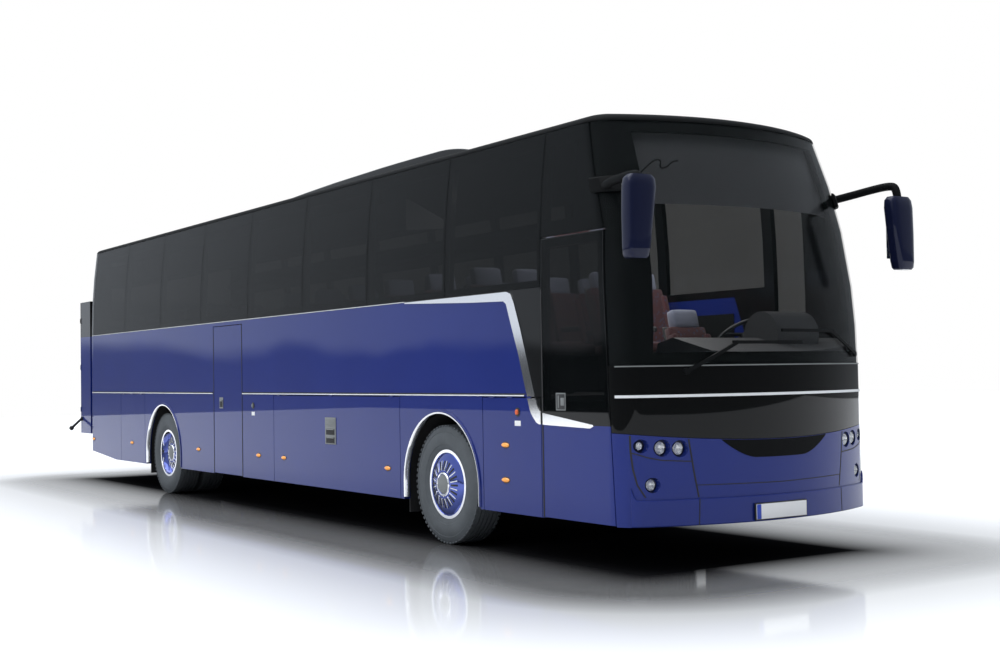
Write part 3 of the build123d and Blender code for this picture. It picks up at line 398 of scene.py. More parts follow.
class Finishes:
    """Every finish of the coach, made once."""

    def __init__(self, axle_x: float) -> None:
        """Makes the materials.

        Args:
            axle_x: The front axle's x in the row frame.
        """
        blue, deep = (0.013, 0.027, 0.185), (0.010, 0.021, 0.150)
        recipes = {
            "paint": PanelPaint("blue_paint", blue, deep),
            "two_tone": PanelPaint("blue_black_paint", blue, deep, two_tone=True, axle_x=axle_x),
            "night": PanelPaint("night_blue_paint", (0.008, 0.011, 0.036), (0.006, 0.008, 0.026)),
            "black": PanelPaint("black_gloss", (0.0035, 0.0038, 0.004), (0.0025, 0.0028, 0.003),
                                metallic=0.1),
            "side_glass": TintedGlass("side_glass", (0.004, 0.005, 0.0055), 0.75, 0.0012, 1.20),
            "screen_glass": TintedGlass("screen_glass", (0.006, 0.009, 0.009), 0.22, 0.0, 1.24),
            "lens_clear": TintedGlass("lens_clear", (0.80, 0.82, 0.85), 0.25),
            "bright": Solid("polished_steel", (0.86, 0.86, 0.88), 0.08, 1.0, 500.0, 0.00002, 0.03),
            "cover": Solid("bright_cover", (0.10, 0.13, 0.40), 0.10, 1.0, 300.0, 0.00005, 0.06),
            "strip": Solid("bright_strip", (0.80, 0.81, 0.83), 0.22, 0.25, 500.0, 0.00002, 0.03),
            "matt": Solid("matt_black", (0.005, 0.0055, 0.006), 0.60, 0.0, 300.0, 0.00005, index=1.15),
            "frame": Solid("frame_paint", (0.025, 0.025, 0.027), 0.55, 0.0, 120.0, 0.0003, 0.3),
            "cast": Solid("cast_metal", (0.10, 0.10, 0.10), 0.6, 0.7, 220.0, 0.0006, 0.3),
            "rubber": Solid("black_rubber", (0.012, 0.012, 0.013), 0.7, 0.0, 400.0, 0.0002),
            "tyre": Solid("tyre_rubber", (0.075, 0.084, 0.092), 0.80, 0.0, 350.0, 0.0004, 0.25),
            "plastic": Solid("black_plastic", (0.010, 0.010, 0.011), 0.42, 0.0, 600.0, 0.00015),
            "grey": Solid("grey_plastic", (0.17, 0.18, 0.18), 0.45, 0.0, 500.0, 0.00015),
            "trim_grey": Solid("cabin_plastic", (0.055, 0.056, 0.06), 0.6, 0.0, 500.0, 0.0003),
            "floor": Solid("floor_covering", (0.05, 0.05, 0.055), 0.7, 0.0, 250.0, 0.0003, 0.35),
            "amber": Solid("amber_lens", (0.85, 0.30, 0.02), 0.12, 0.0, 60.0, 0.0002, 0.1, 1.0, 0.0, 0.35),
            "red": Solid("red_lens", (0.50, 0.012, 0.010), 0.12, 0.0, 60.0, 0.0002, 0.1, 1.0, 0.0, 0.1),
            "white": Solid("white_plate", (0.80, 0.80, 0.80), 0.35, 0.0, 300.0, 0.00005, 0.02),
            "plate_blue": Solid("plate_band", (0.01, 0.05, 0.42), 0.35, 0.0, 300.0, 0.00005, 0.02),
            "orange": Solid("orange_valve", (0.65, 0.10, 0.02), 0.35, 0.0, 300.0, 0.0001),
            "mirror": Solid("mirror_glass", (0.85, 0.87, 0.88), 0.02, 1.0, 50.0, 0.000005, 0.01),
            "cloth": PatternCloth("seat_cloth", (0.070, 0.016, 0.020), (0.05, 0.05, 0.10)),
            "head_cloth": Solid("head_cover", (0.20, 0.22, 0.30), 0.85, 0.0, 800.0, 0.0005, 0.15, 0.0, 0.4),
        }
        self._made = {key: recipe.build() for key, recipe in recipes.items()}

    def __getitem__(self, key: str) -> bpy.types.Material:
        """The material of that key."""
        return self._made[key]


# Form of the body


@dataclass(frozen=True)
class CoachForm:
    """The body's outside form, as the part's source draws it."""

    axle_x: float
    half: float = 1.275
    nose_x: float = 2.860
    nose_r: float = 2.700
    corner_r: float = 0.240
    screen_z: float = 1.530
    belt_z: float = 2.157
    cant_z: float = 3.385
    rake: float = 0.360
    tumble: float = 0.085

    @staticmethod
    def _set_back(z: float, start: float, end: float, depth: float) -> float:
        """How far an arc that starts upright has moved in at a height."""
        tall = end - start
        radius = (tall * tall + depth * depth) / (2.0 * depth)
        rise = max(0.0, z - start)
        return radius - math.sqrt(radius * radius - rise * rise)

    def side_y(self, z: float) -> float:
        """Half the body's width at a height."""
        return self.half - self._set_back(z, self.belt_z, self.cant_z, self.tumble)

    def front_point(self, phi: float, z: float, out: float = 0.0) -> Vector:
        """A point of the bowed front.

        Args:
            phi: Direction that the surface faces there, 0 forwards and a quarter turn to the left side.
            z: Height.
            out: Distance outwards from the surface.

        Returns:
            The point in the row frame.
        """
        radius = self.nose_r - self._set_back(z, self.screen_z, self.cant_z, self.rake)
        centre = self.nose_x - self.nose_r
        inner = self.side_y(z) - self.corner_r
        corner_x = centre + math.sqrt((radius - self.corner_r) ** 2 - inner * inner)
        meet = math.atan2(inner, corner_x - centre)
        turn = abs(phi)
        if turn <= meet:
            x, y = centre + (radius + out) * math.cos(turn), (radius + out) * math.sin(turn)
        else:
            x = corner_x + (self.corner_r + out) * math.cos(turn)
            y = inner + (self.corner_r + out) * math.sin(turn)
        return Vector((x + self.axle_x, math.copysign(y, phi), z))

    def phi_at(self, y: float, z: float) -> float:
        """The direction that the front faces at a distance from the middle."""
        radius = self.nose_r - self._set_back(z, self.screen_z, self.cant_z, self.rake)
        inner = self.side_y(z) - self.corner_r
        turn = math.asin(min(1.0, abs(y) / radius))
        if turn > math.asin(inner / (radius - self.corner_r)):
            turn = math.asin(min(1.0, (abs(y) - inner) / self.corner_r))
        return math.copysign(turn, y)

    def on_front(self, y: float, z: float, out: float = 0.0) -> Vector:
        """A point of the front at a distance from the middle and a height."""
        return self.front_point(self.phi_at(y, z), z, out)


# Mesh tools


class Shapes:
    """Makes plain meshes from outlines."""

    @staticmethod
    def linked(name: str, data: bpy.types.ID) -> bpy.types.Object:
        """A new object of the scene that holds some data."""
        made = bpy.data.objects.new(name, data)
        bpy.context.scene.collection.objects.link(made)
        return made

    @staticmethod
    def piece(name: str, points: Iterable[Point], faces: Iterable[Sequence[int]],
              crease: float = 35.0) -> bpy.types.Object:
        """A new object whose faces are turned outwards and smooth up to an angle.

        Args:
            name: The piece's name.
            points: Its corners in the row frame.
            faces: Its faces by corner.
            crease: Edges sharper than this many degrees stay sharp.

        Returns:
            The object.
        """
        work = bmesh.new()
        corners = [work.verts.new(point) for point in points]
        for face in faces:
            work.faces.new([corners[index] for index in face])
        return Shapes.from_bmesh(name, work, crease)

    @staticmethod
    def from_bmesh(name: str, work: bmesh.types.BMesh, crease: float = 35.0,
                   recalc: bool = True) -> bpy.types.Object:
        """Turns a bmesh into an object, merged and shaded smooth up to an angle."""
        bmesh.ops.remove_doubles(work, verts=work.verts, dist=1e-5)
        if recalc:
            bmesh.ops.recalc_face_normals(work, faces=work.faces)
        limit = math.radians(crease)
        for face in work.faces:
            face.smooth = True
        for edge in work.edges:
            edge.smooth = edge.is_manifold and edge.calc_face_angle(0.0) < limit
        mesh = bpy.data.meshes.new(name)
        work.to_mesh(mesh)
        work.free()
        return Shapes.linked(name, mesh)

    @staticmethod
    def lathe(name: str, profile: Sequence[Point], centre: Point, side: Side,
              steps: int = 72) -> bpy.types.Object:
        """Turns a closed outline of radius and outward offset about a line along Y."""
        points, faces, count = [], [], len(profile)
        for step in range(steps):
            turn = FULL_TURN * step / steps
            for radius, offset in profile:
                points.append((centre[0] + radius * math.cos(turn), centre[1] + side.value * offset,
                               centre[2] + radius * math.sin(turn)))
            here, ahead = step * count, (step + 1) % steps * count
            for index in range(count):
                after = (index + 1) % count
                faces.append((here + index, here + after, ahead + after, ahead + index))
        return Shapes.piece(name, points, faces, 28.0)

    @staticmethod
    def skin(name: str, rows: Sequence[Sequence[Vector]],
             back: Sequence[Sequence[Vector]]) -> bpy.types.Object:
        """A closed thin plate between a front grid and a back grid of points."""
        tall, wide = len(rows), len(rows[0])
        points = [point for row in rows for point in row] + [point for row in back for point in row]
        size = tall * wide
        faces = []
        for r in range(tall - 1):
            for c in range(wide - 1):
                quad = (r * wide + c, r * wide + c + 1, (r + 1) * wide + c + 1, (r + 1) * wide + c)
                faces.append(quad)
                faces.append(tuple(size + index for index in reversed(quad)))
        rim = list(range(wide))
        rim += [r * wide + wide - 1 for r in range(1, tall)]
        rim += [(tall - 1) * wide + c for c in range(wide - 2, -1, -1)]
        rim += [r * wide for r in range(tall - 2, 0, -1)]
        for index, here in enumerate(rim):
            after = rim[(index + 1) % len(rim)]
            faces.append((here, after, size + after, size + here))
        return Shapes.piece(name, points, faces)

    @staticmethod
    def prism(name: str, outline: Sequence[Point], axis: Axis, low: float, high: float) -> bpy.types.Object:
        """A plate over a closed outline in the two other axes."""
        def place(point: Point, value: float) -> tuple:
            spot = list(point)
            spot.insert(axis.value, value)
            return tuple(spot)

        count = len(outline)
        points = [place(point, low) for point in outline] + [place(point, high) for point in outline]
        faces = [tuple(range(count)), tuple(range(2 * count - 1, count - 1, -1))]
        faces += [(i, (i + 1) % count, count + (i + 1) % count, count + i) for i in range(count)]
        return Shapes.piece(name, points, faces)

    @staticmethod
    def block(name: str, centre: Point, size: Point, round_r: float, steps: int = 3) -> bpy.types.Object:
        """A box with rounded edges."""
        work = bmesh.new()
        bmesh.ops.create_cube(work, size=1.0)
        bmesh.ops.scale(work, vec=Vector(size), verts=work.verts)
        bmesh.ops.translate(work, vec=Vector(centre), verts=work.verts)
        if round_r > 0.0:
            bmesh.ops.bevel(work, geom=list(work.edges), offset=round_r, segments=steps, profile=0.5,
                            affect="EDGES", clamp_overlap=True)
        return Shapes.from_bmesh(name, work)

    @staticmethod
    def tube(name: str, route: Sequence[Point], radius: float, sides: int = 4) -> bpy.types.Object:
        """A round bar along a smooth line through control points, made a mesh."""
        curve = bpy.data.curves.new(name, "CURVE")
        curve.dimensions = "3D"
        spline = curve.splines.new("NURBS")
        spline.points.add(len(route) - 1)
        for point, place in zip(spline.points, route):
            point.co = (*place, 1.0)
        spline.order_u = 3
        spline.use_endpoint_u = True
        spline.resolution_u = 8
        curve.bevel_depth = radius
        curve.bevel_resolution = sides
        curve.use_fill_caps = True
        holder = Shapes.linked(name + "_line", curve)
        made = Shapes.frozen(name, holder)
        bpy.data.objects.remove(holder)
        bpy.data.curves.remove(curve)
        return made

    @staticmethod
    def frozen(name: str, holder: bpy.types.Object) -> bpy.types.Object:
        """A plain mesh copy of an object as it is evaluated."""
        bpy.context.view_layer.update()
        graph = bpy.context.evaluated_depsgraph_get()
        mesh = bpy.data.meshes.new_from_object(holder.evaluated_get(graph))
        mesh.name = name
        for polygon in mesh.polygons:
            polygon.use_smooth = True
        return Shapes.linked(name, mesh)

    @staticmethod
    def merged(name: str, pieces: Sequence[bpy.types.Object]) -> bpy.types.Object:
        """Gathers pieces of one finish into one object."""
        work = bmesh.new()
        for part in pieces:
            work.from_mesh(part.data)
            mesh = part.data
            bpy.data.objects.remove(part)
            bpy.data.meshes.remove(mesh)
        mesh = bpy.data.meshes.new(name)
        work.to_mesh(mesh)
        work.free()
        return Shapes.linked(name, mesh)


class Repeater:
    """A Geometry Nodes tree that stands one shape on each of a set of points."""

    def __init__(self) -> None:
        """Builds the tree once."""
        tree = bpy.data.node_groups.new("repeat_shape", "GeometryNodeTree")
        face = tree.interface
        face.new_socket("Geometry", in_out="INPUT", socket_type="NodeSocketGeometry")
        sockets = []
        for word, kind in (("Shape", "NodeSocketObject"), ("Size", "NodeSocketFloat"),
                           ("Finish", "NodeSocketMaterial")):
            sockets.append(face.new_socket(word, in_out="INPUT", socket_type=kind).identifier)
        self._shape, self._size, self._finish = sockets
        face.new_socket("Geometry", in_out="OUTPUT", socket_type="NodeSocketGeometry")
        into = tree.nodes.new("NodeGroupInput")
        shape = tree.nodes.new("GeometryNodeObjectInfo")
        turn = tree.nodes.new("GeometryNodeInputNamedAttribute")
        turn.data_type = "FLOAT_VECTOR"
        turn.inputs["Name"].default_value = "turn"
        stand = tree.nodes.new("GeometryNodeInstanceOnPoints")
        real = tree.nodes.new("GeometryNodeRealizeInstances")
        dress = tree.nodes.new("GeometryNodeSetMaterial")
        out = tree.nodes.new("NodeGroupOutput")
        link = tree.links.new
        link(into.outputs["Geometry"], stand.inputs["Points"])
        link(into.outputs["Shape"], shape.inputs["Object"])
        link(into.outputs["Size"], stand.inputs["Scale"])
        link(shape.outputs["Geometry"], stand.inputs["Instance"])
        link(turn.outputs["Attribute"], stand.inputs["Rotation"])
        link(stand.outputs["Instances"], real.inputs["Geometry"])
        link(real.outputs["Geometry"], dress.inputs["Geometry"])
        link(into.outputs["Finish"], dress.inputs["Material"])
        link(dress.outputs["Geometry"], out.inputs["Geometry"])
        self._tree = tree

    def stand(self, name: str, shape: bpy.types.Object, places: Sequence[Point], finish: bpy.types.Material,
              turns: Sequence[Point] = (), size: float = 1.0) -> bpy.types.Object:
        """Repeats a shape and returns the result as a plain mesh.

        Args:
            name: The new piece's name.
            shape: The shape, drawn about the origin; it is used up.
            places: Where each copy stands.
            finish: The copies' material.
            turns: Each copy's turn about X, Y and Z, in radians, where they turn.
            size: Scale of every copy.

        Returns:
            The piece.
        """
        mesh = bpy.data.meshes.new(name + "_points")
        mesh.from_pydata([tuple(place) for place in places], [], [])
        attribute = mesh.attributes.new("turn", "FLOAT_VECTOR", "POINT")
        for index, turn in enumerate(turns):
            attribute.data[index].vector = turn
        holder = Shapes.linked(name + "_points", mesh)
        modifier = holder.modifiers.new("repeat", "NODES")
        modifier.node_group = self._tree
        modifier[self._shape] = shape
        modifier[self._size] = size
        modifier[self._finish] = finish
        made = Shapes.frozen(name, holder)
        holder.modifiers.remove(modifier)
        bpy.data.objects.remove(holder)
        bpy.data.meshes.remove(mesh)
        bpy.data.objects.remove(shape)
        return made


@dataclass
class Workshop:
    """What every sub-assembly needs: the frame, the finishes, the form and the repeater."""

    frame: dict
    finishes: Finishes
    form: CoachForm
    repeater: Repeater
    bodies: dict = field(default_factory=dict)
    slots: dict = field(default_factory=dict)

    def __post_init__(self) -> None:
        """Reads which body and slot each node has."""
        record = self.frame["record"]
        for body, nodes in record["behaviour"]["bodies"].items():
            for node in nodes:
                self.bodies[node] = body
        for row in record["subparts"]:
            self.slots[row["node"]] = row["material_slot"]

    def dress(self, piece: bpy.types.Object, finish: str, body: str, slot: str | None = None) -> None:
        """Gives a piece its finish and the body that it rides on."""
        piece.data.materials.clear()
        piece.data.materials.append(self.finishes[finish])
        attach(piece, body)
        LOG.info("%s rides on %s", piece.name, body)

    def repeat(self, name: str, shape: bpy.types.Object, places: Sequence[Point], finish: str, body: str,
               turns: Sequence[Point] = (), slot: str | None = None) -> bpy.types.Object:
        """Repeats a shape, gives the copies their finish and the body that they ride on.

        Args:
            name: The new piece's name.
            shape: The shape, drawn about the origin.
            places: Where each copy stands.
            finish: The copies' finish.
            body: The body that they ride on.
            turns: Each copy's turn, where they turn.
            slot: The record's material slot, where it has one; not used.

        Returns:
            The piece.
        """
        made = self.repeater.stand(name, shape, places, self.finishes[finish], turns)
        self.dress(made, finish, body, slot)
        return made

    def panel(self, node: str, finish: str, crease: float = 24.0, edge: float = 0.0) -> bpy.types.Object:
        """A merged, smoothly shaded copy of a CAD node that stands for it.

        Args:
            node: The CAD node.
            finish: The copy's finish.
            crease: Edges sharper than this many degrees stay sharp.
            edge: Width of a rounded edge, where the panel has one.

        Returns:
            The copy.
        """
        work = bmesh.new()
        work.from_mesh(self.frame["nodes"][node].data)
        bmesh.ops.remove_doubles(work, verts=work.verts, dist=1e-5)
        if edge:
            flat = math.radians(0.5)
            bmesh.ops.dissolve_limit(work, angle_limit=flat, verts=work.verts, edges=work.edges)
        made = Shapes.from_bmesh(node + "_skin", work, crease, recalc=False)
        if edge:
            bevel = made.modifiers.new("edge", "BEVEL")
            bevel.width = edge
            bevel.segments = 2
            bevel.limit_method = "ANGLE"
            bevel.angle_limit = math.radians(40.0)
        weighted = made.modifiers.new("even_shading", "WEIGHTED_NORMAL")
        weighted.keep_sharp = True
        self.dress(made, finish, self.bodies[node], self.slots[node])
        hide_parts(node)
        return made

    def at(self, x: float, y: float, z: float) -> Vector:
        """A place given from the front axle, in the row frame."""
        return Vector((x + self.form.axle_x, y, z))


# Sub-assemblies


@dataclass
class BodyShell:
    """The fixed panels, the doors and the flaps."""

    shop: Workshop
    rounded: float = 0.003
    pod_edge: float = 0.05
    smooth: tuple = (
        ("side_wall_right", "two_tone"), ("side_wall_left", "two_tone"), ("side_glass", "side_glass"),
        ("windscreen_frame", "matt"), ("windscreen", "screen_glass"), ("front_bumper", "paint"),
        ("front_apron", "black"), ("rear_wall", "two_tone"), ("rear_window", "side_glass"), ("roof", "matt"),
        ("bright_trim", "bright"), ("front_door", "two_tone"), ("front_door_glass", "side_glass"),
        ("front_door_arms", "frame"), ("mid_door_arms", "frame"), ("wheel_housings", "rubber"),
        ("dashboard", "trim_grey"), ("wipers", "matt"))
    edged: tuple = ("mid_door", "box_door_left", "box_door_right", "luggage_box")
    plain: tuple = (
        ("floor_deck", "floor"), ("underframe", "frame"), ("front_beam", "frame"), ("front_axle", "cast"),
        ("rear_axle", "cast"), ("engine_block", "cast"), ("knuckle_left", "cast"), ("knuckle_right", "cast"))

    def build(self) -> None:
        """Makes the smooth copies and paints the plain nodes."""
        for node, finish in self.smooth:
            self.shop.panel(node, finish)
        flaps = [node for node in self.shop.frame["nodes"] if "_flap" in node]
        for node in (*self.edged, *flaps):
            self.shop.panel(node, "two_tone", edge=self.rounded)
        pod = self.shop.panel("roof_pod", "black", edge=self.pod_edge)
        pod.modifiers["edge"].segments = 6
        for node, finish in self.plain:
            self.paint_node(node, finish)

    def paint_node(self, node: str, finish: str) -> None:
        """Gives a CAD node that shows as it is a finish."""
        mesh = self.shop.frame["nodes"][node].data
        mesh.materials.clear()
        mesh.materials.append(self.shop.finishes[finish])


@dataclass
class WheelSet:
    """Tyres with their tread and the bright wheel covers."""

    shop: Workshop
    shoulder_blocks: int = 64
    shoulder_drop: float = 0.009
    shoulder_y: float = 0.121
    groove: float = 0.012
    grooves: tuple = (-0.100, -0.056, -0.014, 0.028, 0.070)
    bead: float = 0.290
    plane_y: float = 1.085
    front_dish: float = 0.130
    rear_dish: float = 0.045
    slots: int = 16
    slot_r: float = 0.167
    slot_out: float = 0.0225
    slot_tilt: float = 0.235
    dome: tuple = ((0.284, -0.027), (0.270, -0.014), (0.250, -0.003), (0.225, 0.007), (0.185, 0.018),
                   (0.150, 0.027), (0.125, 0.033), (0.105, 0.036), (0.0005, 0.036), (0.0005, 0.030),
                   (0.125, 0.027), (0.225, 0.001), (0.284, -0.033))
    cap: tuple = ((0.0005, 0.046), (0.050, 0.045), (0.078, 0.041), (0.088, 0.034), (0.0005, 0.034))
    ring: tuple = ((0.088, 0.032), (0.088, 0.040), (0.094, 0.044), (0.102, 0.041), (0.108, 0.034))

    def build(self) -> None:
        """Makes all four wheels."""
        for side in Side:
            self._tyre(f"front_tyre_{side.word}", side, (0.0,))
            pair = f"rear_tyres_{side.word}"
            low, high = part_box(pair)
            pitch = high.y - low.y - self._width()
            self._tyre(pair, side, (pitch / 2.0, -pitch / 2.0))
            for word, dish in (("front_rim", self.front_dish), ("rear_rims", self.rear_dish)):
                rim = f"{word}_{side.word}"
                self.shop.panel(rim, "bright", 20.0)
                self._cover(rim, side, self.plane_y + dish)

    def _width(self) -> float:
        """One tyre's width."""
        low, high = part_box("front_tyre_left")
        return high.y - low.y

    def _outline(self, radius: float) -> list[tuple]:
        """A tyre's closed outline, by radius and offset outwards from its middle."""
        half, bead, floor = self._width() / 2.0, self.bead, radius - self.groove
        outline = [(bead, -0.104), (bead + 0.020, -0.118), (0.340, -half + 0.012), (0.385, -half + 0.001),
                   (0.430, -half + 0.002), (0.475, -half + 0.012), (radius - 0.020, -0.128),
                   (radius - 0.006, -0.118)]
        for edge in self.grooves:
            outline += [(radius, edge), (floor, edge + 0.002), (floor, edge + 0.012), (radius, edge + 0.014)]
        outline += [(radius - 0.006, 0.118), (radius - 0.020, 0.128), (0.475, half - 0.012),
                    (0.462, half - 0.007), (0.458, half - 0.010), (0.430, half - 0.002),
                    (0.385, half - 0.001), (0.352, half - 0.008), (0.348, half - 0.012),
                    (0.335, half - 0.014), (bead + 0.022, 0.120), (bead, 0.104)]
        return outline

    def _tyre(self, node: str, side: Side, offsets: Sequence[float]) -> None:
        """One body's tyres: carcass with grooves, and shoulder blocks."""
        low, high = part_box(node)
        middle = (low + high) / 2.0
        radius = (high.z - low.z) / 2.0
        reach = radius - self.shoulder_drop
        body, slot = self.shop.bodies[node], self.shop.slots[node]
        rings, blocks, turns = [], [], []
        for number, offset in enumerate(offsets):
            centre = (middle.x, middle.y + side.value * offset, middle.z)
            rings.append(Shapes.lathe(f"{node}_ring_{number}", self._outline(radius), centre, side, 96))
            for step in range(self.shoulder_blocks):
                turn = FULL_TURN * step / self.shoulder_blocks
                x, z = centre[0] + reach * math.cos(turn), centre[2] + reach * math.sin(turn)
                for edge in (-self.shoulder_y, self.shoulder_y):
                    blocks.append((x, centre[1] + edge, z))
                    turns.append((0.0, math.pi / 2.0 - turn, 0.0))
        carcass = Shapes.merged(node + "_carcass", rings)
        self.shop.dress(carcass, "tyre", body, slot)
        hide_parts(node)
        shape = Shapes.block(node + "_block", ORIGIN, (0.030, 0.026, 0.014), 0.003, 1)
        self.shop.repeat(node + "_shoulders", shape, blocks, "tyre", body, turns, slot)

    def _cover(self, rim: str, side: Side, face: float) -> None:
        """The domed bright cover with its radial slots and ribs, and the grey centre cap in its ring.

        Args:
            rim: The rim's node.
            side: The coach's side.
            face: How far the cover's shoulder stands from the coach's middle.
        """
        low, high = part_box(rim)
        middle = (low + high) / 2.0
        centre = (middle.x, 0.0, middle.z)
        body = self.shop.bodies[rim]
        for word, finish, slot, steps, outline in (("cover", "cover", self.shop.slots[rim], 96, self.dome),
                                                   ("cap", "grey", None, 48, self.cap),
                                                   ("cap_ring", "bright", None, 48, self.ring)):
            profile = [(radius, face + out) for radius, out in outline]
            self.shop.dress(Shapes.lathe(f"{rim}_{word}", profile, centre, side, steps), finish, body, slot)
        y = side.value * (face + self.slot_out)
        for word, finish, shift, size in (("slots", "plastic", 0.0, (0.017, 0.006, 0.082)),
                                          ("ribs", "bright", 0.5, (0.011, 0.013, 0.088))):
            shape = Shapes.block(word, ORIGIN, size, 0.0028, 2)
            shape.data.transform(Matrix.Rotation(side.value * self.slot_tilt, 4, "X"))
            turns = [FULL_TURN * (step + shift) / self.slots for step in range(self.slots)]
            spots = [(middle.x + self.slot_r * math.sin(turn), y, middle.z + self.slot_r * math.cos(turn))
                     for turn in turns]
            about_y = [(0.0, turn, 0.0) for turn in turns]
            self.shop.repeat(f"{rim}_{word}", shape, spots, finish, body, about_y)


@dataclass
class SideFittings:
    """Marker lamps, handles, valves, blank labels, the arch lips and the front door's strip."""

    shop: Workshop
    lip_inner: float = 0.612
    lip_outer: float = 0.660
    arch_steps: int = 48
    marker_z: float = 0.62
    upper_marker: tuple = (1.035, 0.904)
    markers: tuple = (
        (Side.RIGHT, "coach", (-10.002, -5.767, -3.94)), (Side.RIGHT, "rear_flap_right", (-8.264,)),
        (Side.RIGHT, "hold_flap_right", (-3.267, -0.955)), (Side.RIGHT, "service_flap_right", (1.033,)),
        (Side.LEFT, "coach", (-10.002, 1.033)), (Side.LEFT, "rear_flap_left", (-8.264,)),
        (Side.LEFT, "hold_flap_left_rear", (-5.767, -3.94)),
        (Side.LEFT, "hold_flap_left_front", (-3.267, -0.955)))
    foot: tuple = ((1.366, 1.286), (1.392, 1.212), (1.414, 1.168), (1.442, 1.136), (1.485, 1.098),
                   (1.512, 1.086), (1.545, 1.081), (1.545, 1.180), (1.527, 1.193), (1.510, 1.213),
                   (1.496, 1.240), (1.480, 1.286))
    door_strip: tuple = ((1.572, 1.081), (2.150, 1.066), (2.186, 1.066), (2.222, 1.082), (2.214, 1.092),
                         (1.572, 1.172))
    beads: tuple = (
        (-10.05, -0.60, 2.1535, 0.006, 0.004, "strip"), (-10.05, -5.275, 1.3065, 0.009, 0.0095, "strip"),
        (-4.377, 1.322, 1.3065, 0.009, 0.0095, "strip"), (-10.05, -5.275, 1.3195, 0.009, 0.004, "rubber"),
        (-4.377, 1.335, 1.3195, 0.009, 0.004, "rubber"))
    seals: tuple = (("mid_door", "rear", -5.255, 2.100), ("mid_door", "front", -4.397, 2.100),
                    ("front_door", "rear", 1.567, 2.140))
    seal_foot: float = 0.362
    seal_half: float = 0.007

    def build(self) -> None:
        """Makes the fittings of both sides."""
        self._markers()
        self._handles()
        self._arch_lips()
        self._flash_foot()
        self._door_trim()
        self._belt()
        self._seals()
        self._valves()

    def _plate(self, name: str, x: float, z: float, wide: float, tall: float, out: float, body: str,
               finish: str, side: Side = Side.RIGHT, round_r: float = 0.004) -> None:
        """A rounded plate on the flat side."""
        y = side.value * (self.shop.form.half + out / 2.0)
        made = Shapes.block(name, self.shop.at(x, y, z), (wide, out, tall), round_r)
        self.shop.dress(made, finish, body)

    def _markers(self) -> None:
        """Amber marker lamps, each on the panel that carries it."""
        for side, body, places in self.markers:
            y = side.value * self.shop.form.half
            spots = [self.shop.at(x, y, self.marker_z) for x in places]
            if body == "service_flap_right":
                spots.append(self.shop.at(self.upper_marker[0], y, self.upper_marker[1]))
            for word, finish, halves in (("lens", "amber", (0.056, 0.023, 0.020)),
                                         ("rim", "plastic", (0.062, 0.007, 0.028))):
                name = f"marker_{side.word}_{body}_{word}"
                self.shop.repeat(name, self._oval(word, halves), spots, finish, body)

    def _oval(self, name: str, halves: Point) -> bpy.types.Object:
        """A flattened ball about the origin, by half its size along each axis."""
        work = bmesh.new()
        bmesh.ops.create_uvsphere(work, u_segments=20, v_segments=12, radius=1.0)
        bmesh.ops.scale(work, vec=Vector(halves), verts=work.verts)
        return Shapes.from_bmesh(name, work)

    def _handles(self) -> None:
        """Flush handles: a grey plate with two dark recesses on each hold flap, and one on the mid door."""
        for body, side, x in (("hold_flap_right", Side.RIGHT, -2.137),
                              ("hold_flap_left_front", Side.LEFT, -2.137),
                              ("hold_flap_left_rear", Side.LEFT, -4.94)):
            self._handle(body, side, x, 0.938, 0.24, 0.27, 2)
        self._handle("mid_door", Side.RIGHT, -5.015, 1.195, 0.11, 0.13, 1)

    def _handle(self, body: str, side: Side, x: float, z: float, wide: float, tall: float,
                cups: int) -> None:
        """One flush handle: its plate, its dark cups with their grips, and ribs over two cups."""
        rows = [("plate", z, wide, tall, 0.006, "grey")]
        step = (0.62 if cups > 1 else 0.90) * tall / cups
        for cup in range(cups):
            middle = z - tall / 2.0 + step * (cup + 0.5)
            rows.append((f"cup_{cup}", middle, 0.80 * wide, 0.74 * step, 0.0075, "rubber"))
            rows.append((f"grip_{cup}", middle + 0.28 * step, 0.66 * wide, 0.14 * step, 0.013, "grey"))
        if cups > 1:
            for rib in range(4):
                level = z + tall * (0.20 + 0.075 * rib)
                rows.append((f"rib_{rib}", level, 0.84 * wide, 0.045 * tall, 0.0095, "grey"))
        for word, level, across, up, out, finish in rows:
            self._plate(f"{body}_handle_{word}", x, level, across, up, out, body, finish, side)

    def _arch_lips(self) -> None:
        """Raised lips round the wheel arches, in body colour."""
        for side in Side:
            for where, node in (("front", f"front_tyre_{side.word}"), ("rear", f"rear_tyres_{side.word}")):
                low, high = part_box(node)
                middle = (low + high) / 2.0
                self._lip(f"arch_lip_{where}_{side.word}", middle, side)

    def _lip(self, name: str, middle: Vector, side: Side) -> None:
        """One arch lip, from skirt to skirt: a painted flange with a bright rolled edge inside it."""
        half, roll = self.shop.form.half, self.lip_inner + 0.024
        flange = ((roll, -0.003), (roll + 0.003, 0.010), (self.lip_outer - 0.006, 0.010),
                  (self.lip_outer, -0.003))
        made = self._hoop(name, middle, side, [(r, half + t) for r, t in flange], 0.372)
        self.shop.dress(made, "paint", "coach", "paint")
        bead = ((self.lip_inner, -0.030), (self.lip_inner + 0.002, -0.006), (self.lip_inner + 0.010, 0.008),
                (roll, 0.011), (roll + 0.001, -0.002))
        made = self._hoop(name + "_bead", middle, side, [(r, half + t) for r, t in bead], 0.376)
        self.shop.dress(made, "bright", "coach", "bright")

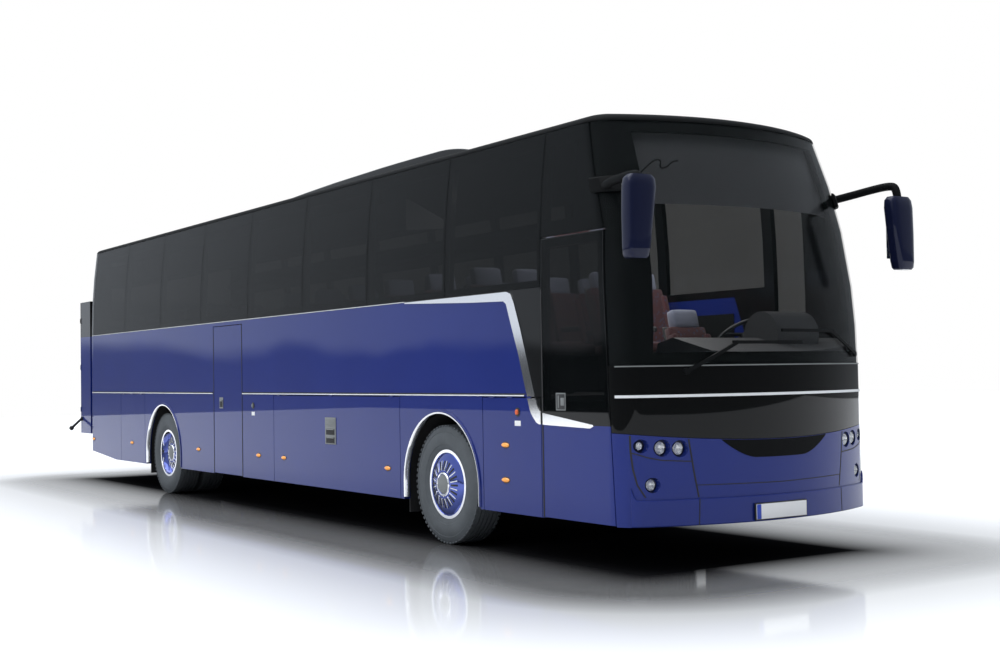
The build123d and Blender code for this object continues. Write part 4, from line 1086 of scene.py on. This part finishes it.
    def _hoop(self, name: str, middle: Vector, side: Side, profile: Sequence[Point],
              low_z: float) -> bpy.types.Object:
        """A band over a wheel with upright ends.

        Args:
            name: The piece's name.
            middle: The wheel's middle.
            side: The coach's side.
            profile: Radius and distance from the coach's middle of each edge of the band.
            low_z: Height of the ends.

        Returns:
            The band.
        """
        rows = []
        turns = [math.pi - math.pi * step / self.arch_steps for step in range(self.arch_steps + 1)]
        for radius, out in profile:
            y = side.value * out
            arc = [(middle.x + radius * math.cos(turn), y, middle.z + radius * math.sin(turn))
                   for turn in turns]
            ends = [(middle.x + way * radius, y, low_z) for way in (-1.0, 1.0)]
            rows.append([Vector(point) for point in (ends[0], *arc, ends[1])])
        back = [[Vector((p.x, p.y - side.value * 0.004, p.z)) for p in row] for row in rows]
        return Shapes.skin(name, rows, back)

    def _flash_foot(self) -> None:
        """The flash's curved foot below the side strip, on the service flap and on the left wall."""
        for side, body in ((Side.RIGHT, "service_flap_right"), (Side.LEFT, "coach")):
            self._sheet_plate(f"flash_foot_{side.word}", self.foot, side, 0.0075, body)

    def _sheet_plate(self, name: str, outline: Sequence[Point], side: Side, out: float, body: str) -> None:
        """A bright plate on the flat side, over an outline of x and z."""
        half = self.shop.form.half
        low, high = sorted((side.value * (half + 0.0004), side.value * (half + out)))
        made = Shapes.prism(name, [(x + self.shop.form.axle_x, z) for x, z in outline], Axis.Y, low, high)
        self.shop.dress(made, "bright", body, "bright")

    def _door_trim(self) -> None:
        """The bright strip across the front door and the door's small control plate."""
        self._sheet_plate("front_door_strip", self.door_strip, Side.RIGHT, 0.006, "front_door")
        for word, x, wide, tall, out, finish in (("plate_rim", 1.811, 0.125, 0.135, 0.004, "grey"),
                                                 ("plate", 1.811, 0.108, 0.118, 0.006, "plastic"),
                                                 ("button", 1.838, 0.045, 0.060, 0.010, "grey"),
                                                 ("keyway", 1.785, 0.016, 0.095, 0.008, "grey")):
            self._plate(f"front_door_{word}", x, 1.262, wide, tall, out, "front_door", finish)

    def _belt(self) -> None:
        """The fine bright bead under the side windows, and the dark joint over the side strip."""
        for number, (rear, front, z, tall, out, finish) in enumerate(self.beads):
            middle, wide = (rear + front) / 2.0, front - rear
            for side in Side:
                self._plate(f"side_bead_{number}_{side.word}", middle, z, wide, tall, out, "coach", finish,
                            side, 0.001)

    def _seals(self) -> None:
        """Black rubber along the upright edges of the two doors."""
        y = -self.shop.form.half
        for door, edge, x, top in self.seals:
            near, far = (x + way * self.seal_half + self.shop.form.axle_x for way in (-1.0, 1.0))
            outline = ((near, self.seal_foot), (far, self.seal_foot), (far, top), (near, top))
            made = Shapes.prism(f"{door}_seal_{edge}", outline, Axis.Y, y - 0.0022, y - 0.0003)
            self.shop.dress(made, "rubber", door, "rubber")

    def _valves(self) -> None:
        """The round valves with their blank labels, on the service flap and by the mid door."""
        seat = ((0.0005, -0.010), (0.036, -0.010), (0.036, 0.003), (0.030, 0.006), (0.0005, 0.006))
        knob = ((0.0005, 0.0), (0.022, 0.0), (0.022, 0.012), (0.014, 0.018), (0.0005, 0.018))
        for name, body, x, z, colour in (("front", "service_flap_right", 1.217, 1.174, "orange"),
                                         ("mid", "coach", -4.082, 1.173, "grey")):
            spot = self.shop.at(x, -self.shop.form.half, z)
            for word, profile, finish in (("valve_seat", seat, "plastic"), ("valve", knob, colour)):
                made = Shapes.lathe(f"{word}_{name}", profile, spot, Side.RIGHT, 24)
                self.shop.dress(made, finish, body)
            self._plate(f"blank_label_{name}", x, z - 0.09, 0.085, 0.042, 0.0015, body, "white",
                        round_r=0.0005)


@dataclass
class FrontEnd:
    """Head lamps, number plate, grille, bright strip, bumper lip and the seams of the bowed front."""

    shop: Workshop
    lamps: tuple = ((0.869, 0.918, 0.062), (0.999, 0.925, 0.062), (1.143, 0.942, 0.050),
                    (1.069, 0.658, 0.055))
    apron_mid_z: float = 0.965
    apron_side_z: float = 1.045
    reach: float = 1.365
    grille_half: float = 0.545
    grille_drop: float = 0.128
    strip_span: float = 72.0
    lip_span: float = 46.0
    lip_flat: float = 34.0
    plate_place: tuple = (-0.022, 0.430, 0.014)
    seams: tuple = (
        ("mid", 0.006, ((0.805, 0.985), (0.770, 0.75), (0.735, 0.56))),
        ("lamp", 0.004, ((0.785, 0.823), (1.00, 0.836), (1.10, 0.858), (1.205, 0.895))),
        ("corner", 0.005, ((1.208, 1.02), (1.206, 0.90), (1.196, 0.78), (1.172, 0.66), (1.120, 0.57))))
    seam_steps: int = 12

    def build(self) -> None:
        """Makes the front's fittings."""
        self._lamps()
        self._strips()
        self._grille()
        self._plate()
        self._seams()

    def _apron_edge(self, y: float) -> float:
        """Height of the line between apron and bumper."""
        sag = self.apron_side_z - self.apron_mid_z
        radius = (self.reach * self.reach + sag * sag) / (2.0 * sag)
        return self.apron_mid_z + radius - math.sqrt(radius * radius - y * y)

    def _band(self, name: str, turns: Sequence[float], low: Callable[[float], float],
              high: Callable[[float], float], outer: float, rows: int = 2,
              inner: float = 0.0004) -> bpy.types.Object:
        """A plate that follows the front between two heights.

        Args:
            name: The piece's name.
            turns: Directions that the front faces along the plate.
            low: Height of the lower edge at a direction.
            high: Height of the upper edge at a direction.
            outer: How far the face stands off the front.
            rows: Rows of points up the plate.
            inner: How far the back stands off the front.

        Returns:
            The plate.
        """
        grids = []
        for out in (outer, inner):
            grid = []
            for row in range(rows):
                share = row / (rows - 1)
                levels = [low(turn) + share * (high(turn) - low(turn)) for turn in turns]
                grid.append([self.shop.form.front_point(turn, z, out) for turn, z in zip(turns, levels)])
            grids.append(grid)
        return Shapes.skin(name, *grids)

    def _turns(self, span: float, steps: int = 48) -> list[float]:
        """Even directions from one side of the front to the other."""
        return [-span + 2.0 * span * step / steps for step in range(steps + 1)]

    def _strips(self) -> None:
        """The bright strip across the apron and the lip along the bumper's foot."""
        turns = self._turns(math.radians(self.strip_span))
        strip = self._band("front_strip", turns, lambda turn: 1.292, lambda turn: 1.312, 0.007)
        self.shop.dress(strip, "strip", "coach", "bright")
        fine = self._band("screen_foot_strip", turns, lambda turn: 1.517, lambda turn: 1.526, 0.004)
        self.shop.dress(fine, "grey", "coach")
        span, flat = math.radians(self.lip_span), math.radians(self.lip_flat)

        def crown(turn: float) -> float:
            """Height of the lip's upper edge, which rises towards its ends."""
            share = max(0.0, (abs(turn) - flat) / (span - flat))
            return 0.552 + 0.10 * share * share

        lip = self._band("bumper_lip", self._turns(span), lambda turn: 0.357, crown, 0.016, 4)
        bevel = lip.modifiers.new("edge", "BEVEL")
        bevel.width = 0.010
        bevel.segments = 4
        bevel.limit_method = "ANGLE"
        self.shop.dress(lip, "paint", "coach", "paint")

    def _grille(self) -> None:
        """The dark smile-shaped opening under the apron."""
        span = self.shop.form.phi_at(self.grille_half, 0.95)

        def foot(turn: float) -> float:
            """Height of the lower edge, which rises to the apron at both ends."""
            share = min(1.0, abs(turn) / span)
            drop = self.grille_drop * (1.0 - max(0.0, (share - 0.45) / 0.55) ** 1.6)
            return self._apron_edge(self.grille_half * share) - 0.006 - drop

        def brow(turn: float) -> float:
            """Height of the upper edge, just under the apron."""
            return self._apron_edge(self.shop.form.nose_r * math.sin(turn)) - 0.003

        grille = self._band("front_grille", self._turns(span, 40), foot, brow, 0.003, 6)
        self.shop.dress(grille, "matt", "coach")

    def _lamps(self) -> None:
        """Bright bowls with clear lenses, set back in dark wells; they stand for the lamp node."""
        wells, bowls, glass = [], [], []
        for side in Side:
            for number, (y, z, radius) in enumerate(self.lamps):
                spot = self.shop.form.on_front(side.value * y, z)
                tag = f"{side.word}_{number}"
                lens = (0.58 if number == 2 else 0.76) * radius
                rim = radius - 0.0015
                well = ((lens, -0.034), (rim, -0.030), (rim, -0.060), (lens, -0.060))
                dish = ((0.0005, -0.050), (0.55 * lens, -0.046), (lens - 0.0005, -0.030),
                        (lens - 0.0005, -0.058), (0.0005, -0.058))
                pane = ((0.0005, -0.014), (0.5 * lens, -0.017), (0.86 * lens, -0.024), (0.96 * lens, -0.029),
                        (0.84 * lens, -0.029), (0.5 * lens, -0.022), (0.0005, -0.019))
                for word, made, profile in (("well", wells, well), ("bowl", bowls, dish),
                                            ("lens", glass, pane)):
                    made.append(self._turned(f"{word}_{tag}", spot, profile))
        bowl = Shapes.merged("lamp_bowls", bowls)
        self.shop.dress(bowl, "bright", "coach", self.shop.slots["head_lamps"])
        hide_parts("head_lamps")
        self.shop.dress(Shapes.merged("lamp_lenses", glass), "lens_clear", "coach")
        self.shop.dress(Shapes.merged("lamp_wells", wells), "night", "coach")

    def _turned(self, name: str, spot: Vector, profile: Sequence[Point]) -> bpy.types.Object:
        """Turns a closed outline of radius and depth about a line along X through a spot."""
        made = Shapes.lathe(name, profile, ORIGIN, Side.LEFT, 40)
        made.data.transform(Matrix.Translation(spot) @ Matrix.Rotation(-math.pi / 2.0, 4, "Z"))
        return made

    def _plate(self) -> None:
        """The bare number plate with its plain band and holder."""
        spot = self.shop.form.on_front(*self.plate_place)
        for name, finish, shift, size, round_r, steps in (
                ("plate_holder", "plastic", ORIGIN, (0.016, 0.535, 0.128), 0.004, 3),
                ("number_plate", "white", (0.008, 0.0, 0.0), (0.004, 0.520, 0.112), 0.0015, 2),
                ("plate_band", "plate_blue", (0.0085, -0.235, 0.0), (0.0045, 0.045, 0.110), 0.0015, 2)):
            made = Shapes.block(name, spot + Vector(shift), size, round_r, steps)
            self.shop.dress(made, finish, "coach")

    def _seams(self) -> None:
        """Dark joints between the bumper's panels."""
        joints = []
        for side in Side:
            s = side.value
            for word, half, route in self.seams:
                places = [(s * y, z) for y, z in route]
                joints.append(self._joint(f"seam_{word}_{side.word}", places, half))
            foot = ((s * 0.735, 0.550), (s * 0.742, 0.36))
            joints.append(self._joint(f"seam_foot_{side.word}", foot, 0.004, 0.0168))
        joints.append(self._joint("seam_flap", ((-0.749, 0.649), (0.0, 0.640), (0.749, 0.649)), 0.003))
        self.shop.dress(Shapes.merged("bumper_seams", joints), "rubber", "coach")

    def _joint(self, name: str, route: Sequence[Point], half: float,
               out: float = 0.0012) -> bpy.types.Object:
        """A dark line on the front through places given by distance from the middle and height."""
        spots = []
        for (y0, z0), (y1, z1) in zip(route, route[1:]):
            for step in range(self.seam_steps):
                share = step / self.seam_steps
                spots.append((y0 + share * (y1 - y0), z0 + share * (z1 - z0)))
        spots.append(route[-1])
        rows, back = [[], []], [[], []]
        for index, (y, z) in enumerate(spots):
            ahead, behind = spots[min(index + 1, len(spots) - 1)], spots[max(index - 1, 0)]
            dy, dz = ahead[0] - behind[0], ahead[1] - behind[1]
            size = math.hypot(dy, dz)
            for row, sign in ((0, -1.0), (1, 1.0)):
                py, pz = y - sign * half * dz / size, z + sign * half * dy / size
                rows[row].append(self.shop.form.on_front(py, pz, out))
                back[row].append(self.shop.form.on_front(py, pz, -0.002))
        return Shapes.skin(name, rows, back)


@dataclass
class MirrorPair:
    """The long-armed mirrors at the front corners; they stand for the mirror node."""

    shop: Workshop
    head_x: float = 2.890
    head_y: float = 1.350
    low_z: float = 2.275
    tall: float = 0.590
    wide: float = 0.250
    deep: float = 0.130
    arms: dict = field(default_factory=lambda: {
        Side.RIGHT: ((2.30, 1.200, 2.862), (2.45, 1.285, 2.866), (2.66, 1.330, 2.872), (2.82, 1.348, 2.876),
                     (2.885, 1.352, 2.866), (2.890, 1.352, 2.780)),
        Side.LEFT: ((2.30, 1.200, 2.890), (2.42, 1.270, 2.915), (2.64, 1.325, 2.950), (2.80, 1.348, 2.965),
                    (2.885, 1.352, 2.945), (2.890, 1.352, 2.800))})
    arm_r: float = 0.033
    wire: tuple = ((2.87, -1.330, 2.875), (2.87, -1.26, 2.935), (2.87, -1.19, 2.985), (2.875, -1.13, 2.990),
                   (2.88, -1.15, 2.925), (2.885, -1.09, 2.935), (2.89, -1.04, 2.985), (2.89, -0.99, 2.990))
    wire_r: float = 0.007
    sections: tuple = ((0.0, 0.60, 0.70, 0.040), (0.03, 0.72, 0.88, 0.040), (0.12, 0.78, 0.97, 0.036),
                       (0.5, 0.93, 1.0, 0.020), (0.85, 1.02, 1.0, 0.004), (0.95, 0.98, 0.90, 0.0),
                       (1.0, 0.78, 0.72, 0.0))
    ring_steps: int = 32

    def build(self) -> None:
        """Makes both mirrors."""
        heads, arms, glasses = [], [], []
        for side in Side:
            heads.append(self._head(side))
            route = [self.shop.at(x, side.value * y, z) for x, y, z in self.arms[side]]
            arms.append(Shapes.tube(f"mirror_arm_{side.word}", route, self.arm_r))
            arms.append(self._bracket(side))
            glasses.append(self._glass(side))
        head = Shapes.merged("mirror_heads", heads)
        self.shop.dress(head, "night", "coach", self.shop.slots["mirrors"])
        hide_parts("mirrors")
        self.shop.dress(Shapes.merged("mirror_arms", arms), "matt", "coach")
        self.shop.dress(Shapes.merged("mirror_glasses", glasses), "mirror", "coach")
        wire = Shapes.tube("kerb_wires", [self.shop.at(*place) for place in self.wire], self.wire_r)
        self.shop.dress(wire, "matt", "coach")

    def _head(self, side: Side) -> bpy.types.Object:
        """One housing, lofted from rounded sections."""
        points, faces, steps = [], [], self.ring_steps
        for share, across, along, lean in self.sections:
            z = self.low_z + share * self.tall
            for step in range(steps):
                turn = FULL_TURN * step / steps
                c, s = math.cos(turn), math.sin(turn)
                x = math.copysign(abs(c) ** 0.5, c) * self.deep / 2.0 * along
                y = math.copysign(abs(s) ** 0.5, s) * self.wide / 2.0 * across
                points.append(self.shop.at(self.head_x + x, side.value * (self.head_y + lean) + y, z))
        faces += [tuple(range(steps)), tuple(range(len(points) - steps, len(points)))]
        for low in range(0, len(points) - steps, steps):
            for step in range(steps):
                after = (step + 1) % steps
                faces.append((low + step, low + after, low + steps + after, low + steps + step))
        return Shapes.piece(f"mirror_head_{side.word}", points, faces, 50.0)

    def _glass(self, side: Side) -> bpy.types.Object:
        """The glass on the housing's rear face."""
        y = side.value * (self.head_y + 0.016)
        spot = self.shop.at(self.head_x - self.deep / 2.0, y, self.low_z + 0.31)
        size = (0.004, 0.70 * self.wide, 0.74 * self.tall)
        return Shapes.block(f"mirror_glass_{side.word}", spot, size, 0.0018, 2)

    def _bracket(self, side: Side) -> bpy.types.Object:
        """The shoe that wraps the pillar."""
        form = self.shop.form
        turns = [side.value * math.radians(angle) for angle in range(28, 91, 3)]
        rows, back = [], []
        for z in (2.820, 2.832, 2.928, 2.940):
            thick = 0.026 if 2.825 < z < 2.935 else 0.016
            rows.append([form.front_point(turn, z, thick) for turn in turns])
            back.append([form.front_point(turn, z, 0.0006) for turn in turns])
        return Shapes.skin(f"mirror_shoe_{side.word}", rows, back)


@dataclass
class Saloon:
    """Seats with crowned cushions, the steering wheel and the driver's place."""

    shop: Workshop
    floor: float = 1.300
    platform: float = 0.900
    first_row: float = 0.520
    pitch: float = 0.780
    rows: int = 13
    well: tuple = (-5.267, -4.385)
    seat_y: tuple = (0.435, 0.885)
    driver: tuple = (1.480, 0.560)
    seat_front: float = 0.250
    seat_back: float = 0.420
    blind_levels: tuple = (2.735, 2.88, 3.03, 3.18, 3.34)
    blind_back: tuple = (-0.075, -0.085)
    rack: tuple = ((0.0, 0.0), (0.42, 0.035), (0.45, 0.075), (0.42, 0.115), (0.02, 0.30), (0.0, 0.30))
    rack_place: tuple = (1.19, 2.83)
    rack_x: tuple = (-9.75, -0.70)

    def build(self) -> None:
        """Makes every seat and dresses the driver's controls."""
        spots = [self.shop.at(*self.driver, self.platform)]
        for row in range(self.rows):
            x = self.first_row - self.pitch * row
            for y in self.seat_y:
                spots.append(self.shop.at(x, y, self.floor))
                if x + self.seat_front < self.well[0] or x - self.seat_back > self.well[1]:
                    spots.append(self.shop.at(x, -y, self.floor))
        repeat = self.shop.repeat
        cushions = repeat("saloon_seats", self._cushions(), spots, "cloth", "coach",
                          slot=self.shop.slots["seats"])
        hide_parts("seats")
        heads = repeat("head_covers", self._head_cover(), spots, "head_cloth", "coach")
        repeat("seat_bases", self._base(), spots, "trim_grey", "coach")
        self.shop.panel("steering_wheel", "trim_grey", 40.0)
        self._screen_head()
        self._racks()

    def _screen_head(self) -> None:
        """The dark blind behind the windscreen's head, the instrument hood and the left wall's lining."""
        turns = [math.radians(-24.0 + 2.0 * step) for step in range(25)]
        grids = []
        for out in self.blind_back:
            grids.append([[self.shop.form.front_point(turn, z, out) for turn in turns]
                          for z in self.blind_levels])
        self.shop.dress(Shapes.skin("screen_blind", *grids), "trim_grey", "coach")
        hood = Shapes.block("instrument_hood", self.shop.at(2.18, 0.56, 1.60), (0.42, 0.62, 0.24), 0.10, 5)
        self.shop.dress(hood, "matt", "coach")
        spot = self.shop.at(-4.25, 1.209, 1.60)
        self.shop.dress(Shapes.block("left_lining", spot, (10.7, 0.012, 0.80), 0.004, 2), "matt", "coach")

    def _racks(self) -> None:
        """Luggage racks along the saloon."""
        y, z = self.rack_place
        rear, front = (self.shop.form.axle_x + x for x in self.rack_x)
        for side in Side:
            outline = [(side.value * (y - across), z + up) for across, up in self.rack]
            made = Shapes.prism(f"luggage_rack_{side.word}", outline, Axis.X, rear, front)
            self.shop.dress(made, "trim_grey", "coach")

    def _pad(self, centre: Point, size: Point, lean: float) -> bpy.types.Object:
        """A crowned pad: a subdivided block that swells in its middle."""
        made = Shapes.block("pad", ORIGIN, size, min(size) * 0.30, 2)
        subdivision = made.modifiers.new("crown", "SUBSURF")
        subdivision.levels = 1
        subdivision.render_levels = 1
        smooth = Shapes.frozen("pad_smooth", made)
        bpy.data.objects.remove(made)
        smooth.data.transform(Matrix.Translation(Vector(centre)) @ Matrix.Rotation(lean, 4, "Y"))
        return smooth

    def _cushions(self) -> bpy.types.Object:
        """Seat pad and back pad about a seat's own origin."""
        pads = [self._pad((0.0, 0.0, 0.395), (0.49, 0.43, 0.11), -0.05),
                self._pad((-0.245, 0.0, 0.70), (0.105, 0.43, 0.56), -0.27)]
        for sign in (-1.0, 1.0):
            pads.append(self._pad((-0.20, sign * 0.19, 0.68), (0.10, 0.06, 0.46), -0.27))
        return Shapes.merged("seat_pads", pads)

    def _head_cover(self) -> bpy.types.Object:
        """The head rest with its cover."""
        return self._pad((-0.338, 0.0, 1.03), (0.11, 0.30, 0.19), -0.24)

    def _base(self) -> bpy.types.Object:
        """Plinth, back shell and arm rest."""
        parts = [Shapes.block("plinth", (-0.04, 0.0, 0.17), (0.30, 0.36, 0.34), 0.02),
                 Shapes.block("arm", (-0.02, 0.215, 0.57), (0.34, 0.03, 0.05), 0.012)]
        shell = Shapes.block("shell", ORIGIN, (0.03, 0.41, 0.56), 0.012)
        shell.data.transform(Matrix.Translation((-0.305, 0.0, 0.70)) @ Matrix.Rotation(-0.27, 4, "Y"))
        parts.append(shell)
        return Shapes.merged("seat_frame", parts)


@dataclass
class RearEnd:
    """Tail lamps, the luggage box's fittings, the left louvres and the roof hatches."""

    shop: Workshop
    grip: tuple = ((-0.002, -0.08), (-0.030, -0.08), (-0.034, 0.0), (-0.030, 0.08), (-0.002, 0.08))
    lens: tuple = ((0.0005, 0.016), (0.022, 0.014), (0.040, 0.009), (0.050, 0.001), (0.0005, 0.001))
    lens_rows: tuple = ((0.64, "red"), (0.80, "amber"), (0.96, "red"))
    lens_x: float = -10.675
    lens_z: float = 0.628
    slats: int = 10
    slat_pitch: float = 0.05
    slat_place: tuple = (-8.24, 0.004, 0.70)
    hatch_x: tuple = (-8.30, 1.05)

    def build(self) -> None:
        """Dresses the lamps and adds the fittings."""
        self.shop.panel("tail_lamps", "rubber")
        low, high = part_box("luggage_box")
        back_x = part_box("box_door_right")[0].x
        for side in Side:
            body = f"box_door_{side.word}"
            spot = Vector((back_x - 0.006, side.value * 0.12, (low.z + high.z) / 2.0))
            plate = Shapes.block(f"{body}_lock_plate", spot, (0.012, 0.09, 0.22), 0.004)
            self.shop.dress(plate, "plastic", body)
            route = [spot + Vector((dx, 0.0, dz)) for dx, dz in self.grip]
            self.shop.dress(Shapes.tube(f"{body}_grip", route, 0.009), "grey", body)
        self._lenses()
        self._louvres()
        self._hatches()
        plate = Shapes.block("rear_plate", (back_x - 0.003, -0.62, 1.02), (0.005, 0.520, 0.112), 0.002, 2)
        self.shop.dress(plate, "white", "box_door_right")

    def _lenses(self) -> None:
        """Round lenses of the tail lamps, facing back."""
        for side in Side:
            for number, (y, finish) in enumerate(self.lens_rows):
                spot = self.shop.at(self.lens_x, side.value * y, self.lens_z)
                made = Shapes.lathe(f"tail_lens_{side.word}_{number}", self.lens, ORIGIN, Side.LEFT, 32)
                made.data.transform(Matrix.Translation(spot) @ Matrix.Rotation(math.pi / 2.0, 4, "Z"))
                self.shop.dress(made, finish, "coach", "red_lamp")

    def _louvres(self) -> None:
        """The radiator's louvres on the left rear flap."""
        x, out, z = self.slat_place
        y = self.shop.form.half + out
        spots = [self.shop.at(x, y, z + self.slat_pitch * step) for step in range(self.slats)]
        slat = Shapes.block("slat", ORIGIN, (0.74, 0.008, 0.034), 0.003, 2)
        slat.data.transform(Matrix.Rotation(-0.14, 4, "X"))
        self.shop.repeat("rear_louvres", slat, spots, "plastic", "rear_flap_left")

    def _hatches(self) -> None:
        """Two roof hatches with their rounded lids."""
        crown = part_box("roof")[1].z
        for number, x in enumerate(self.hatch_x):
            for word, finish, up, size, round_r, steps in (
                    ("frame", "rubber", 0.004, (0.80, 0.74, 0.03), 0.012, 3),
                    ("lid", "matt", 0.030, (0.74, 0.68, 0.05), 0.022, 4)):
                spot = self.shop.at(x, 0.0, crown + up)
                made = Shapes.block(f"hatch_{word}_{number}", spot, size, round_r, steps)
                self.shop.dress(made, finish, "coach")


@dataclass
class Studio:
    """Pale floor with a painted shadow under and round the coach, soft light and the camera of the
    photograph.
    """

    shop: Workshop
    place: tuple = (10.282, -7.440, 1.478)
    yaw: float = 146.467
    pitch: float = 1.725
    roll: float = -0.924
    lens: float = 49.045
    mirror_share: float = 0.97
    mirror_reach: float = 3.4
    shadow_reach: float = 1.6
    shadow_inset: float = 0.40
    dark_reach: float = 0.9
    low_band: tuple = (0.06, 0.065, 0.07)
    sky: tuple = (0.74, 0.80, 0.88)
    beyond: tuple = (0.60, 0.62, 0.64)
    cloud_scale: float = 17.0
    skyline: tuple = (0.014, 0.030)
    skyline_swing: float = 0.034
    front_dark: float = 0.80
    sun_power: float = 2.3
    sun_spread: float = 70.0
    sun_way: tuple = (0.1, 0.3, -1.0)
    cab_power: float = 70.0
    cab_size: tuple = (2.4, 1.6)
    cab_place: tuple = (0.6, 0.0, 3.22)
    floor_x: tuple = (-48.0, 40.0)
    floor_y: tuple = (-26.0, 60.0)
    floor_gloss: float = 0.07
    shade_curve: float = 1.6

    def build(self) -> None:
        """Makes the stage."""
        self._camera()
        self._floor()
        self._lights()
        self._world()

    def _camera(self) -> None:
        """The camera at the photograph's place and angle."""
        yaw, pitch, roll = (math.radians(angle) for angle in (self.yaw, self.pitch, self.roll))
        ahead = Vector((math.cos(yaw) * math.cos(pitch), math.sin(yaw) * math.cos(pitch), math.sin(pitch)))
        right = ahead.cross(Vector((0.0, 0.0, 1.0))).normalized()
        up = right.cross(ahead)
        turned_right = math.cos(roll) * right + math.sin(roll) * up
        turned_up = -math.sin(roll) * right + math.cos(roll) * up
        data = bpy.data.cameras.new("photo_camera")
        data.lens = self.lens
        data.sensor_width = 36.0
        data.clip_end = 300.0
        camera = Shapes.linked("photo_camera", data)
        turn = Matrix((turned_right, turned_up, -ahead)).transposed()
        camera.matrix_world = Matrix.Translation(self.shop.at(*self.place)) @ turn.to_4x4()
        bpy.context.scene.camera = camera

    def _floor(self) -> None:
        """A large pale floor with a painted shadow under and round the coach, which mirrors softly near the
        coach.
        """
        (west, east), (south, north) = self.floor_x, self.floor_y
        places = ((west, south), (east, south), (east, north), (west, north))
        corners = [self.shop.at(x, y, 0.0) for x, y in places]
        finish = self._floor_finish()
        floor = Shapes.piece("floor", corners, ((0, 1, 2, 3),))
        floor.data.materials.append(finish)
        floor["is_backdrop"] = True

    def _floor_finish(self) -> bpy.types.Material:
        """White floor with a painted shadow: its colour is near black under and round the coach and pales
        with the distance, and its gloss fades with the distance from the coach and is kept off right under
        it.

        Returns:
            The floor's material.
        """
        bench = NodeBench("pale_floor")
        calc = bench.math
        low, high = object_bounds()
        squares = []
        for axis, near, far in ((Axis.X, low.x, high.x), (Axis.Y, low.y, high.y)):
            away = calc("ABSOLUTE", calc("SUBTRACT", bench.axis(axis), (near + far) / 2.0))
            gap = calc("MAXIMUM", calc("SUBTRACT", away, (far - near) / 2.0 - self.shadow_inset), 0.0)
            squares.append(calc("MULTIPLY", gap, gap))
        reach = calc("SQRT", calc("ADD", *squares))
        # Painted shadow: the floor's colour runs from near black at the coach to pale at shadow_reach, shaped
        # by shade_curve.
        lit = calc("POWER", calc("MINIMUM", calc("DIVIDE", reach, self.shadow_reach), 1.0), self.shade_curve)
        bench.join(bench.blend(lit, (0.012, 0.012, 0.013), (0.92, 0.92, 0.92)), "Base Color")
        bench.put("Roughness", 0.9)
        bench.put("Specular IOR Level", 0.0)
        fade = calc("MAXIMUM", calc("SUBTRACT", 1.0, calc("DIVIDE", reach, self.mirror_reach)), 0.0)
        # The mirror is off within dark_reach of the coach, so the painted shadow shows there.
        fade = calc("MULTIPLY", fade, calc("MINIMUM", calc("DIVIDE", reach, self.dark_reach), 1.0))
        gloss = bench.tree.nodes.new("ShaderNodeBsdfGlossy")
        gloss.inputs["Roughness"].default_value = self.floor_gloss
        mix = bench.tree.nodes.new("ShaderNodeMixShader")
        bench.feed(mix.inputs["Fac"], calc("MULTIPLY", fade, self.mirror_share))
        bench.feed(mix.inputs[1], bench.shader.outputs["BSDF"])
        bench.feed(mix.inputs[2], gloss.outputs["BSDF"])
        bench.feed(bench.tree.nodes["Material Output"].inputs["Surface"], mix.outputs["Shader"])
        return bench.material

    def _lights(self) -> None:
        """A very soft light from above, a little to the right side, and a weak one under the front roof."""
        sun = bpy.data.lights.new("overhead", "SUN")
        sun.energy = self.sun_power
        sun.angle = math.radians(self.sun_spread)
        overhead = Shapes.linked("overhead", sun)
        overhead.rotation_euler = Vector(self.sun_way).to_track_quat("-Z", "Y").to_euler()
        lamp = bpy.data.lights.new("cab_light", "AREA")
        lamp.shape = "RECTANGLE"
        lamp.size, lamp.size_y = self.cab_size
        lamp.energy = self.cab_power
        Shapes.linked("cab_light", lamp).location = self.shop.at(*self.cab_place)

    def _world(self) -> None:
        """White beyond the floor, and an overcast sky over a dark low band for what the panels reflect."""
        world = bpy.data.worlds.new("studio")
        world.use_nodes = True
        tree = world.node_tree
        tree.nodes.clear()
        wiring = Wiring(tree)
        coords = tree.nodes.new("ShaderNodeTexCoord").outputs["Generated"]
        split = tree.nodes.new("ShaderNodeSeparateXYZ")
        wiring.feed(split.inputs[0], coords)
        x, y, z = split.outputs
        cloud = tree.nodes.new("ShaderNodeTexNoise")
        cloud.inputs["Scale"].default_value = self.cloud_scale
        wiring.feed(cloud.inputs["Vector"], coords)
        math_node, step = wiring.math, wiring.smooth_step
        uneven = math_node("MULTIPLY", math_node("SUBTRACT", cloud.outputs["Fac"], 0.5), self.skyline_swing)
        colour = wiring.blend(step(math_node("ADD", z, uneven), *self.skyline), self.low_band, self.sky)
        level = math_node("SUBTRACT", 1.0, step(z, 0.35, 0.85))
        front = math_node("MULTIPLY", step(x, 0.15, 0.85), level)
        colour = wiring.blend(math_node("MULTIPLY", front, self.front_dark), colour, self.low_band)
        yaw = math.radians(self.yaw)
        ahead = math_node("ADD", math_node("MULTIPLY", x, math.cos(yaw)),
                          math_node("MULTIPLY", y, math.sin(yaw)))
        colour = wiring.blend(step(ahead, 0.80, 0.90), colour, self.beyond)
        path = tree.nodes.new("ShaderNodeLightPath")
        colour = wiring.blend(path.outputs["Is Camera Ray"], colour, (1.0, 1.0, 1.0))
        shade = tree.nodes.new("ShaderNodeBackground")
        wiring.feed(shade.inputs["Color"], colour)
        out = tree.nodes.new("ShaderNodeOutputWorld")
        wiring.feed(out.inputs["Surface"], shade.outputs["Background"])
        bpy.context.scene.world = world
        bpy.context.scene.view_settings.view_transform = "Standard"


def main() -> None:
    """Builds the sub-assemblies in order."""
    logging.basicConfig(level=logging.INFO, format="%(name)s: %(message)s")
    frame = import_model()
    low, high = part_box("front_tyre_right")
    axle_x = (low.x + high.x) / 2.0
    shop = Workshop(frame, Finishes(axle_x), CoachForm(axle_x), Repeater())
    for assembly in (BodyShell, WheelSet, SideFittings, FrontEnd, MirrorPair, Saloon, RearEnd, Studio):
        assembly(shop).build()
        LOG.info("%s done", assembly.__name__)


if __name__ == "__main__":
    main()
